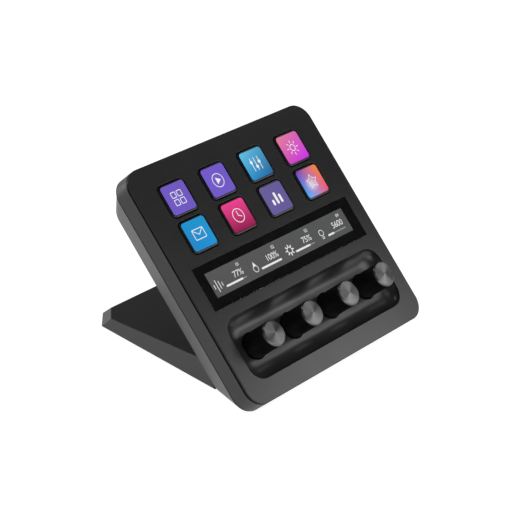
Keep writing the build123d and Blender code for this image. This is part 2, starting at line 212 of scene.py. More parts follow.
def inside(loop: Array, points: Array) -> Array:
    """Tell which points a closed loop holds, by counting the edges that cross a line to the right.

    Args:
        loop: rows of x, u.
        points: rows of x, u.

    Returns:
        One truth value for each point.
    """
    a, b = loop, np.roll(loop, -1, axis=0)
    px, pu = points[:, :1], points[:, 1:2]
    spans = (a[:, 1] > pu) != (b[:, 1] > pu)
    rise = np.where(b[:, 1] == a[:, 1], 1.0, b[:, 1] - a[:, 1])
    meets = (b[:, 0] - a[:, 0]) * (pu - a[:, 1]) / rise + a[:, 0]
    return (spans & (px < meets)).sum(axis=1) % 2 == 1


# ------------------------------------------------------------------ meshes
# Points closer than WELD are one, edges shorter than SLIVER go, and edges sharper than CREASE
# degrees stay sharp.  FILL_REACH is how close two corners of a filled area count as one, and what
# lies within NEAR_AXIS of a turned piece's axis has no direction round it.
WELD = 0.002
SLIVER = 0.0005
CREASE = 35.0
FILL_REACH = 1e-5
NEAR_AXIS = 0.01


class Shell:
    """Points and faces of one closed mesh while it is being made, in deck millimetres."""

    def __init__(self) -> None:
        """Start with nothing."""
        self.points: list[Array] = []
        self.faces: list[Array] = []
        self.zones: list[Array] = []
        self.count = 0

    def add(self, points: Array, faces: Array, zone: int = 0) -> None:
        """Take in points and the faces between them.

        Args:
            points: rows of x, u, n.
            faces: rows of numbers of those points, from nought.
            zone: finish zone of the faces.
        """
        self.points.append(points)
        self.faces.append(faces + self.count)
        self.zones.append(np.full(len(faces), zone))
        self.count += len(points)

    def skin(self, loops: Sequence[Array], zone: int = 0) -> None:
        """Join equal closed loops with quads: vertex (i, j) is point j of loop i.

        Args:
            loops: from one end of the skin to the other, each with as many points.
            zone: finish zone.
        """
        grid = np.stack(loops)
        rows, columns = grid.shape[:2]
        index = np.arange(rows * columns).reshape(rows, columns)
        after = np.roll(index, -1, axis=1)
        quads = np.stack([index[:-1], after[:-1], after[1:], index[1:]], axis=-1)
        self.add(grid.reshape(-1, 3), quads.reshape(-1, 4), zone)

    def fill(self, outer: Array, holes: Sequence[Array], height: float, zone: int = 0) -> None:
        """Fill the flat area between loops with triangles that keep every loop's edges.

        Args:
            outer: loop round the area.
            holes: loops that stay open.
            height: of the area above the face.
            zone: finish zone.
        """
        loops = [outer, *holes]
        starts = np.cumsum([0, *(len(loop) for loop in loops)])
        edges = [
            (int(start + i), int(start + (i + 1) % len(loop)))
            for start, loop in zip(starts, loops)
            for i in range(len(loop))
        ]
        flat = [Vector(point) for point in np.concatenate(loops).tolist()]
        made = delaunay_2d_cdt(flat, edges, [], 1, FILL_REACH)
        points = np.array([tuple(p) for p in made[0]], float)
        triangles = np.array(made[2], int)
        middles = points[triangles].mean(axis=1)
        keep = inside(outer, middles)
        for hole in holes:
            keep &= ~inside(hole, middles)
        self.add(raised(points, height), triangles[keep], zone)

    def turn(
        self,
        profile: Array,
        centre: Pair,
        count: int,
        rib: float = 0.0,
        ribs: int = 0,
    ) -> None:
        """Turn a profile about an axis out of the face.

        Point (i, j) stands at angle j on a circle whose radius is profile point i, less the rib
        depth times half of one minus the cosine of the rib count times that angle.

        Args:
            profile: rows of radius, height and share of the rib depth.
            centre: place of the axis on the face.
            count: points round the circle.
            rib: depth of the grooves between ribs.
            ribs: number of ribs.
        """
        angles = np.arange(count) * TAU / count
        radius = profile[:, :1] - profile[:, 2:3] * rib * (1 - np.cos(ribs * angles)) / 2
        x = centre[0] + radius * np.cos(angles)
        u = centre[1] + radius * np.sin(angles)
        n = np.broadcast_to(profile[:, 1:2], x.shape)
        self.skin(list(np.stack([x, u, n], axis=-1)))

    def finish(self, name: str, deck: Deck, crease: float = CREASE) -> Piece:
        """Weld the mesh, turn its faces outwards and place it in the row frame.

        Args:
            name: of the new object.
            deck: frame that the points are in.
            crease: edges sharper than this many degrees stay sharp.

        Returns:
            The object, at the origin, with its place in its mesh.
        """
        points = deck.place(np.concatenate(self.points))
        faces = [face for group in self.faces for face in group.tolist()]
        mesh = bpy.data.meshes.new(name)
        mesh.from_pydata(points.tolist(), [], faces)
        mesh.polygons.foreach_set("material_index", np.concatenate(self.zones).astype(np.int32))
        weld(mesh, crease)
        made = bpy.data.objects.new(name, mesh)
        bpy.context.scene.collection.objects.link(made)
        return made


def weld(mesh: bpy.types.Mesh, crease: float = CREASE) -> None:
    """Join the points that lie on each other, turn the faces outwards and set the shading.

    Args:
        mesh: in metres.
        crease: edges sharper than this many degrees stay sharp.
    """
    work = bmesh.new()
    work.from_mesh(mesh)
    bmesh.ops.remove_doubles(work, verts=work.verts, dist=WELD * MM)
    bmesh.ops.dissolve_degenerate(work, edges=work.edges, dist=SLIVER * MM)
    bmesh.ops.recalc_face_normals(work, faces=work.faces)
    work.to_mesh(mesh)
    work.free()
    mesh.shade_smooth()
    mesh.set_sharp_from_angle(angle=radians(crease))


def map_flat(made: Piece, deck: Deck, centre: Pair, size: Pair) -> None:
    """Give a piece a map that runs from 0 to 1 across a rectangle of the face.

    Args:
        made: the piece.
        deck: its frame.
        centre: middle of the rectangle.
        size: its width and height.
    """
    spots = corner_points(made, deck)
    across = (spots[:, :2] - np.array(centre)) / np.array(size) + 0.5
    write_map(made.data, across)


def map_polar(made: Piece, deck: Deck, centre: Pair, radius: float) -> None:
    """Give a turned piece a map whose first number runs round its axis and whose second runs outwards.

    The second number is the radius less the height, so walls get some of it as well.  Each face
    counts its corners' angles from its own middle, so no face spans the seam.

    Args:
        made: the piece.
        deck: its frame.
        centre: place of the axis.
        radius: that counts as 1.
    """
    mesh = made.data
    spots = corner_points(made, deck) - np.array([*centre, 0.0])
    sizes = np.zeros(len(mesh.polygons), np.int32)
    mesh.polygons.foreach_get("loop_total", sizes)
    owner = np.repeat(np.arange(len(sizes)), sizes)
    middles = np.stack([np.bincount(owner, spots[:, i]) for i in (0, 1)], axis=1) / sizes[:, None]
    base = np.arctan2(middles[:, 1], middles[:, 0])[owner]
    reach = np.hypot(spots[:, 0], spots[:, 1])
    off = (np.arctan2(spots[:, 1], spots[:, 0]) - base + pi) % TAU - pi
    off = np.where(reach < NEAR_AXIS, 0.0, off)
    write_map(mesh, np.stack([(base + off) / TAU, (reach - spots[:, 2]) / radius], axis=1))


def corner_points(made: Piece, deck: Deck) -> Array:
    """Find where every face corner of a piece lies.

    Args:
        made: the piece.
        deck: its frame.

    Returns:
        Rows of x, u, n, one for each face corner.
    """
    mesh = made.data
    points = np.zeros(len(mesh.vertices) * 3)
    mesh.vertices.foreach_get("co", points)
    index = np.zeros(len(mesh.loops), np.int32)
    mesh.loops.foreach_get("vertex_index", index)
    return deck.locate(points.reshape(-1, 3))[index]


def write_map(mesh: bpy.types.Mesh, values: Array) -> None:
    """Store a map of two numbers for each face corner."""
    layer = mesh.uv_layers.new(name="UVMap")
    layer.uv.foreach_set("vector", values.astype(np.float32).ravel())


# ------------------------------------------------------------------ shader helpers
def linear(red: float, green: float, blue: float) -> Colour:
    """Turn a display colour into linear light, by the usual display curve.

    Args:
        red: from 0 to 255.
        green: from 0 to 255.
        blue: from 0 to 255.

    Returns:
        The colour, each part from 0 to 1.
    """
    values = np.array([red, green, blue]) / 255
    light = np.where(values <= 0.04045, values / 12.92, ((values + 0.055) / 1.055) ** 2.4)
    return tuple(float(v) for v in light)


def shaded(colour: Colour, factor: float = 1.0) -> tuple[float, float, float, float]:
    """A colour times a factor, as a shader colour."""
    return (*(min(1.0, c * factor) for c in colour), 1.0)


WHITE = shaded((1.0, 1.0, 1.0))
BLACK = shaded((0.0, 0.0, 0.0))


class Wiring:
    """Adds and joins the nodes of one tree."""

    def __init__(self, tree: Tree) -> None:
        """Work on a tree."""
        self.tree = tree

    def feed(self, node: Node, inputs: dict[Union[str, int], object]) -> None:
        """Give a node's inputs their values, or join them to the sockets that feed them.

        Args:
            node: of this tree.
            inputs: socket names or numbers with a value or the socket that feeds them.
        """
        for name, value in inputs.items():
            if isinstance(value, Socket):
                self.tree.links.new(value, node.inputs[name])
            else:
                node.inputs[name].default_value = value

    def add(self, kind: str, inputs: Optional[dict] = None, **settings: object) -> Node:
        """Add a node.

        Args:
            kind: its type name without the leading ShaderNode.
            inputs: socket names or numbers with a value or the socket that feeds them.
            settings: properties of the node.

        Returns:
            The node.
        """
        node = self.tree.nodes.new(kind if kind.startswith("Node") else "ShaderNode" + kind)
        for name, value in settings.items():
            setattr(node, name, value)
        self.feed(node, inputs or {})
        return node

    def group(self, tree: Tree, inputs: dict[str, object]) -> Node:
        """Place a shared effect in a material with its own values."""
        return self.add("Group", inputs, node_tree=tree)

    def math(self, operation: str, *values: Union[float, Socket], clamp: bool = False) -> Socket:
        """Add a Math node and return its result."""
        node = self.add("Math", dict(enumerate(values)), operation=operation, use_clamp=clamp)
        return node.outputs[0]

    def blend(self, share: Union[float, Socket], low: object, high: object) -> Socket:
        """Mix two colours by a share and return the result."""
        node = self.add("Mix", {0: share, 6: low, 7: high}, data_type="RGBA")
        return node.outputs[2]

    def bump(self, height: Socket, depth: float, strength: float) -> Socket:
        """Turn a height of so many millimetres into a normal and return it."""
        node = self.add("Bump", {"Height": height, "Distance": depth * MM, "Strength": strength})
        return node.outputs[0]


def effect(
    name: str,
    inputs: dict[str, float],
    outputs: Sequence[str],
) -> tuple[Wiring, dict[str, Socket]]:
    """Start a shared effect as a node group.

    Args:
        name: of the group.
        inputs: names of its number inputs with their defaults; a Vector input is always added.
        outputs: names of its number outputs.

    Returns:
        The group's wiring, and its input sockets by name.
    """
    tree = bpy.data.node_groups.new(name, "ShaderNodeTree")
    tree.interface.new_socket("Vector", in_out="INPUT", socket_type="NodeSocketVector")
    for key, value in inputs.items():
        socket = tree.interface.new_socket(key, in_out="INPUT", socket_type="NodeSocketFloat")
        socket.default_value = value
    for key in outputs:
        tree.interface.new_socket(key, in_out="OUTPUT", socket_type="NodeSocketFloat")
    wiring = Wiring(tree)
    entry = wiring.add("NodeGroupInput")
    return wiring, {socket.name: socket for socket in entry.outputs}


class Effects:
    """The effects that several finishes share, each built at its first use."""

    @staticmethod
    @cache
    def grain() -> Tree:
        """Moulded grain: fine pits as a height, and a slow mottle for tone and sheen.

        Returns:
            The node group.
        """
        wiring, given = effect("moulded_grain", {"Scale": 3000.0, "Patches": 60.0}, ["Height", "Mottle"])
        place, fineness = given["Vector"], given["Scale"]
        fine = wiring.add("TexNoise", {"Vector": place, "Scale": fineness, "Detail": 2.0})
        pits = wiring.add("TexVoronoi", {"Vector": place, "Scale": fineness}, feature="SMOOTH_F1")
        height = wiring.math("MULTIPLY", fine.outputs[0], pits.outputs[0])
        slow = wiring.add("TexNoise", {"Vector": place, "Scale": given["Patches"], "Detail": 4.0})
        wiring.add("NodeGroupOutput", {"Height": height, "Mottle": slow.outputs[0]})
        return wiring.tree

    @staticmethod
    @cache
    def brushing() -> Tree:
        """Turned or brushed lines: noise squeezed along one direction of the vector.

        Returns:
            The node group.
        """
        wiring, given = effect("brushed_lines", {"Along": 1.0, "Across": 200.0}, ["Height", "Streak"])
        along, across = given["Along"], given["Across"]
        stretch = wiring.add("CombineXYZ", {0: along, 1: across, 2: across}).outputs[0]
        squeezed = wiring.add("VectorMath", {0: given["Vector"], 1: stretch}, operation="MULTIPLY")
        place = squeezed.outputs[0]
        lines = wiring.add("TexNoise", {"Vector": place, "Scale": 1.0, "Detail": 3.0})
        broad = wiring.add("TexNoise", {"Vector": place, "Scale": 0.2, "Detail": 1.0})
        wiring.add("NodeGroupOutput", {"Height": lines.outputs[0], "Streak": broad.outputs[0]})
        return wiring.tree

    @staticmethod
    @cache
    def dust() -> Tree:
        """Fine dust and finger haze: a mask of soft patches, which are the high parts of a noise.

        Returns:
            The node group.
        """
        wiring, given = effect("handling_haze", {"Scale": 25.0, "Amount": 0.2}, ["Mask"])
        patch = wiring.add(
            "TexNoise", {"Vector": given["Vector"], "Scale": given["Scale"], "Detail": 5.0}
        )
        soft = wiring.add(
            "MapRange", {0: patch.outputs[0], 1: 0.45, 2: 0.75}, interpolation_type="SMOOTHSTEP"
        )
        mask = wiring.math("MULTIPLY", soft.outputs[0], given["Amount"])
        wiring.add("NodeGroupOutput", {"Mask": mask})
        return wiring.tree

    @staticmethod
    @cache
    def level_band() -> Tree:
        """Mask of what lies between two levels, in metres: nought outside, one inside.

        Returns:
            The node group.
        """
        wiring, given = effect("level_band", {"Level": 0.0, "Low": 0.0, "High": 0.0}, ["Mask"])
        above = wiring.math("GREATER_THAN", given["Level"], given["Low"])
        below = wiring.math("LESS_THAN", given["Level"], given["High"])
        wiring.add("NodeGroupOutput", {"Mask": wiring.math("MULTIPLY", above, below)})
        return wiring.tree


# ------------------------------------------------------------------ finishes
class Finish:
    """Something that a piece can be dressed in; its material is made once."""

    library: dict[str, bpy.types.Material] = {}
    name: str

    def material(self) -> bpy.types.Material:
        """Make the finish's material at its first use.

        Returns:
            The Blender material.
        """
        if self.name not in Finish.library:
            made = bpy.data.materials.new(self.name)
            made.use_nodes = True
            made.node_tree.nodes.clear()
            wiring = Wiring(made.node_tree)
            shader = wiring.add("BsdfPrincipled")
            wiring.add("OutputMaterial", {"Surface": shader.outputs[0]})
            self.wire(wiring, shader)
            Finish.library[self.name] = made
        return Finish.library[self.name]

    def wire(self, wiring: Wiring, shader: Node) -> None:
        """Join the finish's own nodes to its shader."""
        raise NotImplementedError

    @staticmethod
    def place(wiring: Wiring) -> Socket:
        """Object coordinates, which are row frame metres on every piece."""
        return wiring.add("TexCoord").outputs["Object"]


@dataclass(frozen=True)
class MouldedPlastic(Finish):
    """Satin or matt moulded plastic with spark grain and a faint mottle.

    The grain has a fineness, a depth in millimetres and a bite, which is how strongly it shows.
    The mottle moves the tone between two shares of the colour, and the roughness by its spread.
    """

    name: str
    colour: Colour
    roughness: float = 0.45
    spread: float = 0.06
    specular: float = 0.5
    grain: float = 3000.0
    depth: float = 0.02
    bite: float = 0.6
    haze: float = 0.1
    mottle: Pair = (0.9, 1.12)
    dusty: float = 1.6

    def wire(self, wiring: Wiring, shader: Node) -> None:
        """Tone and sheen follow the mottle, and the grain bumps the surface.

        Args:
            wiring: of the finish's material.
            shader: that the nodes feed.
        """
        place = self.place(wiring)
        grain = wiring.group(Effects.grain(), {"Vector": place, "Scale": self.grain})
        haze = wiring.group(Effects.dust(), {"Vector": place, "Amount": self.haze})
        mottle, height = grain.outputs["Mottle"], grain.outputs["Height"]
        tone = wiring.blend(mottle, *(shaded(self.colour, share) for share in self.mottle))
        tone = wiring.blend(haze.outputs["Mask"], tone, shaded(self.colour, self.dusty))
        wiring.feed(shader, {
            "Base Color": self.paint_shade(wiring, place, tone, shader),
            "Roughness": wiring.math("MULTIPLY_ADD", mottle, self.spread, self.roughness - self.spread / 2),
            "Normal": wiring.bump(height, self.depth, self.bite),
            "Specular IOR Level": self.specular,
        })

    def paint_shade(self, wiring: Wiring, place: Socket, tone: Socket, shader: Node) -> Socket:
        """Paint shade into the tone by place; plain plastic keeps its tone."""
        return tone


@dataclass(frozen=True)
class PaintedShadowPlastic(MouldedPlastic):
    """Moulded plastic with painted shade: narrow bands round the body, level with the face, blackened as
    the shadow lines of its joins.
    """

    # Levels of the bands painted black as shadow lines, in millimetres from the face, and the share of
    # white in that painted shade.
    shadow_bands: tuple[Pair, ...] = ()
    deck: Deck = DECK
    black: float = 0.001

    def paint_shade(self, wiring: Wiring, place: Socket, tone: Socket, shader: Node) -> Socket:
        """Paint the shadow lines into the bands, sheen and all, by making them black metal.

        The level of a spot is its distance from the face along the face's normal, and each painted shadow
        band is what lies between two levels.

        Args:
            wiring: of the finish's material.
            place: row frame metres.
            tone: colour of the plain plastic.
            shader: whose Metallic the painted shadow bands drive.

        Returns:
            The tone with its painted shadow lines.
        """
        normal = self.deck.normal()
        face = (normal[1] * self.deck.front + normal[2] * self.deck.lift) * MM
        along = wiring.add("VectorMath", {0: place, 1: normal}, operation="DOT_PRODUCT")
        level = wiring.math("SUBTRACT", along.outputs["Value"], face)
        bands = [
            wiring.group(Effects.level_band(), {"Level": level, "Low": low * MM, "High": high * MM})
            for low, high in self.shadow_bands
        ]
        # Painted shade: inside the bands the plastic becomes black metal, with no tone and no sheen of its
        # own.
        mask = wiring.math("ADD", *(band.outputs["Mask"] for band in bands), clamp=True)
        wiring.feed(shader, {"Metallic": mask})
        return wiring.blend(mask, tone, shaded((1.0, 1.0, 1.0), self.black))


@dataclass(frozen=True)
class GlossPlastic(Finish):
    """Polished plastic under a clear skin, with a trace of finger haze."""

    name: str
    colour: Colour
    roughness: float = 0.12
    specular: float = 0.5
    coat: float = 0.5
    coat_roughness: float = 0.05
    haze: float = 0.25
    haze_scale: float = 180.0
    hazy: float = 1.8
    dull: float = 0.3

    def wire(self, wiring: Wiring, shader: Node) -> None:
        """Haze roughens the polish a little and lifts its tone.

        Args:
            wiring: of the finish's material.
            shader: that the nodes feed.
        """
        given = {"Vector": self.place(wiring), "Scale": self.haze_scale, "Amount": self.haze}
        mask = wiring.group(Effects.dust(), given).outputs["Mask"]
        wiring.feed(shader, {
            "Base Color": wiring.blend(mask, shaded(self.colour), shaded(self.colour, self.hazy)),
            "Roughness": wiring.math("MULTIPLY_ADD", mask, self.dull, self.roughness),
            "Specular IOR Level": self.specular,
            "Coat Weight": self.coat,
            "Coat Roughness": self.coat_roughness,
        })


@dataclass(frozen=True)
class SpunMetal(Finish):
    """Metal turned on a lathe: fine rings that draw the light out into cones.

    The pull is how far they draw it out, and the twist turns that direction, in whole turns.
    """

    name: str
    colour: Colour
    roughness: float = 0.3
    spread: float = 0.04
    pull: float = 1.0
    twist: float = 0.22
    rings: Pair = (2.0, 160.0)
    streak: Pair = (0.93, 1.07)
    depth: float = 0.003
    bite: float = 0.5

    def wire(self, wiring: Wiring, shader: Node) -> None:
        """The piece's polar map gives the direction of the rings and their height.

        Args:
            wiring: of the finish's material.
            shader: that the nodes feed.
        """
        spot = wiring.add("UVMap", uv_map="UVMap").outputs[0]
        along, across = self.rings
        rings = wiring.group(Effects.brushing(), {"Vector": spot, "Along": along, "Across": across})
        height, streak = rings.outputs["Height"], rings.outputs["Streak"]
        wiring.feed(shader, {
            "Base Color": wiring.blend(streak, *(shaded(self.colour, share) for share in self.streak)),
            "Roughness": wiring.math("MULTIPLY_ADD", height, self.spread, self.roughness - self.spread / 2),
            "Normal": wiring.bump(height, self.depth, self.bite),
            "Tangent": wiring.add("Tangent", direction_type="UV_MAP", uv_map="UVMap").outputs[0],
            "Metallic": 1.0,
            "Anisotropic": self.pull,
            "Anisotropic Rotation": self.twist,
        })


@dataclass(frozen=True)
class PlainMetal(Finish):
    """Rolled or plated metal with faint brushing along x."""

    name: str
    colour: Colour
    roughness: float = 0.35
    spread: float = 0.15
    under: float = 0.07
    lines: Pair = (60.0, 4000.0)
    streak: Pair = (0.85, 1.1)
    depth: float = 0.01
    bite: float = 0.4

    def wire(self, wiring: Wiring, shader: Node) -> None:
        """Brushed lines shift tone, sheen and height.

        Args:
            wiring: of the finish's material.
            shader: that the nodes feed.
        """
        place = self.place(wiring)
        along, across = self.lines
        lines = wiring.group(Effects.brushing(), {"Vector": place, "Along": along, "Across": across})
        height, streak = lines.outputs["Height"], lines.outputs["Streak"]
        wiring.feed(shader, {
            "Base Color": wiring.blend(streak, *(shaded(self.colour, share) for share in self.streak)),
            "Roughness": wiring.math("MULTIPLY_ADD", height, self.spread, self.roughness - self.under),
            "Normal": wiring.bump(height, self.depth, self.bite),
            "Metallic": 1.0,
        })


@dataclass(frozen=True)
class ClearGlass(Finish):
    """Polished cover glass."""

    name: str
    haze: float = 0.02
    haze_scale: float = 120.0
    bending: float = 1.5

    def wire(self, wiring: Wiring, shader: Node) -> None:
        """Finger haze is the only thing that varies on it.

        Args:
            wiring: of the finish's material.
            shader: that the nodes feed.
        """
        given = {"Vector": self.place(wiring), "Scale": self.haze_scale, "Amount": self.haze}
        wiring.feed(shader, {
            "Base Color": WHITE,
            "Roughness": wiring.group(Effects.dust(), given).outputs["Mask"],
            "Transmission Weight": 1.0,
            "IOR": self.bending,
        })


@dataclass(frozen=True)
class LitPicture(Finish):
    """Display picture: colours blended between its four corners, with a soft glow, under gloss."""

    name: str
    corners: tuple[Colour, Colour, Colour, Colour]
    glow: float = 0.0
    glow_at: Pair = (0.5, 0.5)
    glow_size: float = 0.3
    level: float = 1.0
    pixels: float = 72.0
    pixel_dark: float = 0.06
    unlit: Colour = (0.01, 0.01, 0.012)

    def wire(self, wiring: Wiring, shader: Node) -> None:
        """Light the corners' colours: lower left, lower right, upper left, upper right.

        Args:
            wiring: of the finish's material.
            shader: that the nodes feed.
        """
        spot = wiring.add("UVMap", uv_map="UVMap").outputs[0]
        parts = wiring.add("SeparateXYZ", {0: spot})
        corners = [shaded(c) for c in self.corners]
        across, up = (wiring.math("ADD", parts.outputs[i], 0.0, clamp=True) for i in (0, 1))
        lower = wiring.blend(across, corners[0], corners[1])
        upper = wiring.blend(across, corners[2], corners[3])
        picture = wiring.blend(up, lower, upper)
        away = wiring.add("VectorMath", {0: spot, 1: (*self.glow_at, 0.0)}, operation="DISTANCE")
        halo = wiring.add(
            "MapRange",
            {0: away.outputs["Value"], 1: self.glow_size, 2: 0.0, 3: 0.0, 4: self.glow},
            interpolation_type="SMOOTHSTEP",
        )
        picture = wiring.blend(halo.outputs[0], picture, WHITE)
        waves = [
            wiring.add("TexWave", {"Vector": spot, "Scale": self.pixels}, bands_direction=way)
            for way in ("X", "Y")
        ]
        grid = wiring.math("MULTIPLY", *(wave.outputs["Fac"] for wave in waves))
        picture = wiring.blend(wiring.math("MULTIPLY", grid, self.pixel_dark), picture, BLACK)
        wiring.feed(shader, {
            "Base Color": shaded(self.unlit),
            "Roughness": 0.12,
            "Specular IOR Level": 0.5,
            "Coat Weight": 0.3,
            "Coat Roughness": 0.04,
            "Emission Color": picture,
            "Emission Strength": self.level,
        })


@dataclass(frozen=True)
class LitMark(Finish):
    """Bright marks on a display, whose light varies a little over its pixels."""

    name: str
    colour: Colour
    level: float = 1.0
    pixels: float = 4000.0
    dimmed: float = 0.9
    unlit: Colour = (0.02, 0.02, 0.02)

    def wire(self, wiring: Wiring, shader: Node) -> None:
        """A fine noise dims the light a little.

        Args:
            wiring: of the finish's material.
            shader: that the nodes feed.
        """
        given = {"Vector": self.place(wiring), "Scale": self.pixels, "Detail": 1.0}
        dots = wiring.add("TexNoise", given).outputs[0]
        wiring.feed(shader, {
            "Base Color": shaded(self.unlit),
            "Roughness": 0.2,
            "Emission Color": wiring.blend(dots, shaded(self.colour), shaded(self.colour, self.dimmed)),
            "Emission Strength": self.level,
        })


@dataclass(frozen=True)
class CircuitBoard(Finish):
    """Solder-masked board with tracks that show through as paler lines."""

    name: str
    colour: Colour
    roughness: float = 0.3
    cells: float = 350.0
    track: float = 0.05
    pale: float = 1.9
    depth: float = 0.03
    bite: float = 0.5

    def wire(self, wiring: Wiring, shader: Node) -> None:
        """Tracks are the cell borders of a blocky pattern.

        Args:
            wiring: of the finish's material.
            shader: that the nodes feed.
        """
        given = {"Vector": self.place(wiring), "Scale": self.cells}
        cells = wiring.add("TexVoronoi", given, feature="DISTANCE_TO_EDGE", distance="EUCLIDEAN")
        track = wiring.math("LESS_THAN", cells.outputs[0], self.track)
        wiring.feed(shader, {
            "Base Color": wiring.blend(track, shaded(self.colour), shaded(self.colour, self.pale)),
            "Roughness": self.roughness,
            "Normal": wiring.bump(track, self.depth, self.bite),
        })


class Wardrobe:
    """Every finish of the keypad by the material slot that it stands for."""

    face = MouldedPlastic("satin_face_plastic", linear(38, 38, 39), roughness=0.30, depth=0.008)
    # Painted shade: the housing's bands at the plate seam and at the rear seam are painted black as shadow
    # lines.
    housing = PaintedShadowPlastic(
        "moulded_housing_painted_shade", linear(44, 44, 45), roughness=0.48, shadow_bands=((-1.75, -1.1), (-11.9, -10.75))
    )
    # Painted shade: near-black matt plastic for the face plate's inset wall behind its rim, so that the gap
    # to the ring reads as a shadow line.
    gap_shade = MouldedPlastic("painted_gap_shade", linear(8, 8, 8), roughness=0.9, specular=0.1)
    stand = MouldedPlastic("moulded_stand", linear(42, 42, 43), roughness=0.5)
    inner = MouldedPlastic("inner_plastic", linear(22, 22, 23), roughness=0.6, grain=1500.0)
    silicone = MouldedPlastic("mat_silicone", linear(70, 72, 74), roughness=0.7, grain=900.0)
    rubber = MouldedPlastic(
        "pad_rubber", linear(26, 26, 27), roughness=0.85, specular=0.3, grain=1200.0, depth=0.08
    )
    chip = MouldedPlastic("chip_resin", linear(24, 24, 25), roughness=0.65, grain=2200.0)
    encoder = MouldedPlastic("encoder_case", linear(52, 52, 54), roughness=0.5)
    cable = MouldedPlastic("flat_cable", linear(205, 203, 196), roughness=0.5, grain=800.0)
    key_gloss = GlossPlastic("key_border", linear(7, 7, 8), specular=0.3, coat=0.3)
    knob_gloss = GlossPlastic("knob_sleeve", linear(5, 5, 5), roughness=0.3, coat=0.2)
    module = GlossPlastic("display_module", linear(6, 6, 7), roughness=0.25, coat=0.0)
    glass = ClearGlass("cover_glass")
    glass_print = GlossPlastic(
        "black_print", linear(23, 23, 23), roughness=0.5, specular=0.05, coat=0.0, haze=0.1
    )
    spun = SpunMetal("spun_aluminium", linear(105, 105, 106))
    steel = PlainMetal("plated_steel", linear(150, 150, 152))
    weight = PlainMetal("weight_steel", linear(96, 98, 102), roughness=0.5)
    board = CircuitBoard("board_mask", linear(18, 62, 40))
    white = LitMark("lit_white", linear(240, 240, 240))
    dim = LitMark("lit_grey", linear(140, 142, 144))
    slots: dict[str, Finish] = {
        "face_plastic": face,
        "housing_plastic": housing,
        "stand_plastic": stand,
        "strip_glass": glass,
        "display_module": module,
        "inner_black_plastic": inner,
        "mat_silicone": silicone,
        "board_green": board,
        "chip_black": chip,
        "port_steel": steel,
        "cable_white": cable,
        "weight_steel": weight,
        "pad_rubber": rubber,
        "encoder_case": encoder,
        "shaft_steel": steel,
        "knob_black": knob_gloss,
        "knob_aluminium": spun,
    }


def dress(
    made: Piece,
    finishes: Sequence[Finish],
    body: str,
    stands_for: Sequence[str] = (),
) -> Piece:
    """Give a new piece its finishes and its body.

    Args:
        made: the piece.
        finishes: one for each of its zones.
        body: that it moves with.
        stands_for: nodes that it replaces.

    Returns:
        The piece.
    """
    for finish in finishes:
        made.data.materials.append(finish.material())
    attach(made, body)
    if stands_for:
        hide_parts(*stands_for)
    log.info("%s: %d faces on %s", made.name, len(made.data.polygons), body)
    return made


# ------------------------------------------------------------------ face plate
@dataclass(frozen=True)
class FingerDish:
    """Moulded dish round the knobs: a flat floor between walls that are quarter ellipses."""

    width: float = 121.4
    height: float = 34.2
    centre: float = KNOB_CENTRE
    corner: float = 8.5
    corner_fall: float = 0.8
    corner_most: float = 0.97
    depth: float = 5.8
    end: float = 9.0
    side: float = 8.0
    lip: float = 0.2
    first_angle: float = 3.0
    steps: int = 24
    floor: float = 2.2
    wall: float = 1.6
    draft: float = 30.0
    runs: tuple[int, int] = (72, 6)

    def loop(self, depth: float, grow: float = 0.0) -> Array:
        """Outline of the dish at one depth.

        At depth d the walls have drawn in by their width times one minus the square root of
        one minus the square of d over the full depth, and the corners shrink with the height.

        Args:
            depth: below the face.
            grow: how far the outline is drawn out.

        Returns:
            Rows of x, u.
        """
        drawn = 1 - sqrt(max(1 - (depth / self.depth) ** 2, 0))
        half_width = self.width / 2 - self.end * drawn
        half_height = self.height / 2 - self.side * drawn
        corner = self.corner * (2 * half_height / self.height) ** self.corner_fall
        corner = min(corner, self.corner_most * half_height)
        size = (2 * half_width, 2 * half_height, corner)
        return rounded_loop(*grown(size, grow), (0, self.centre), runs=self.runs)

    def tub(self, height: float) -> Array:
        """Outline of the drafted tub behind the face plate.

        Args:
            height: at which the outline is taken, below nought.

        Returns:
            Rows of x, u.
        """
        grow = self.wall - (-PLATE_THICK - height) * tan(radians(self.draft))
        size = (self.width, self.height, self.corner)
        return rounded_loop(*grown(size, grow), (0, self.centre), runs=self.runs)


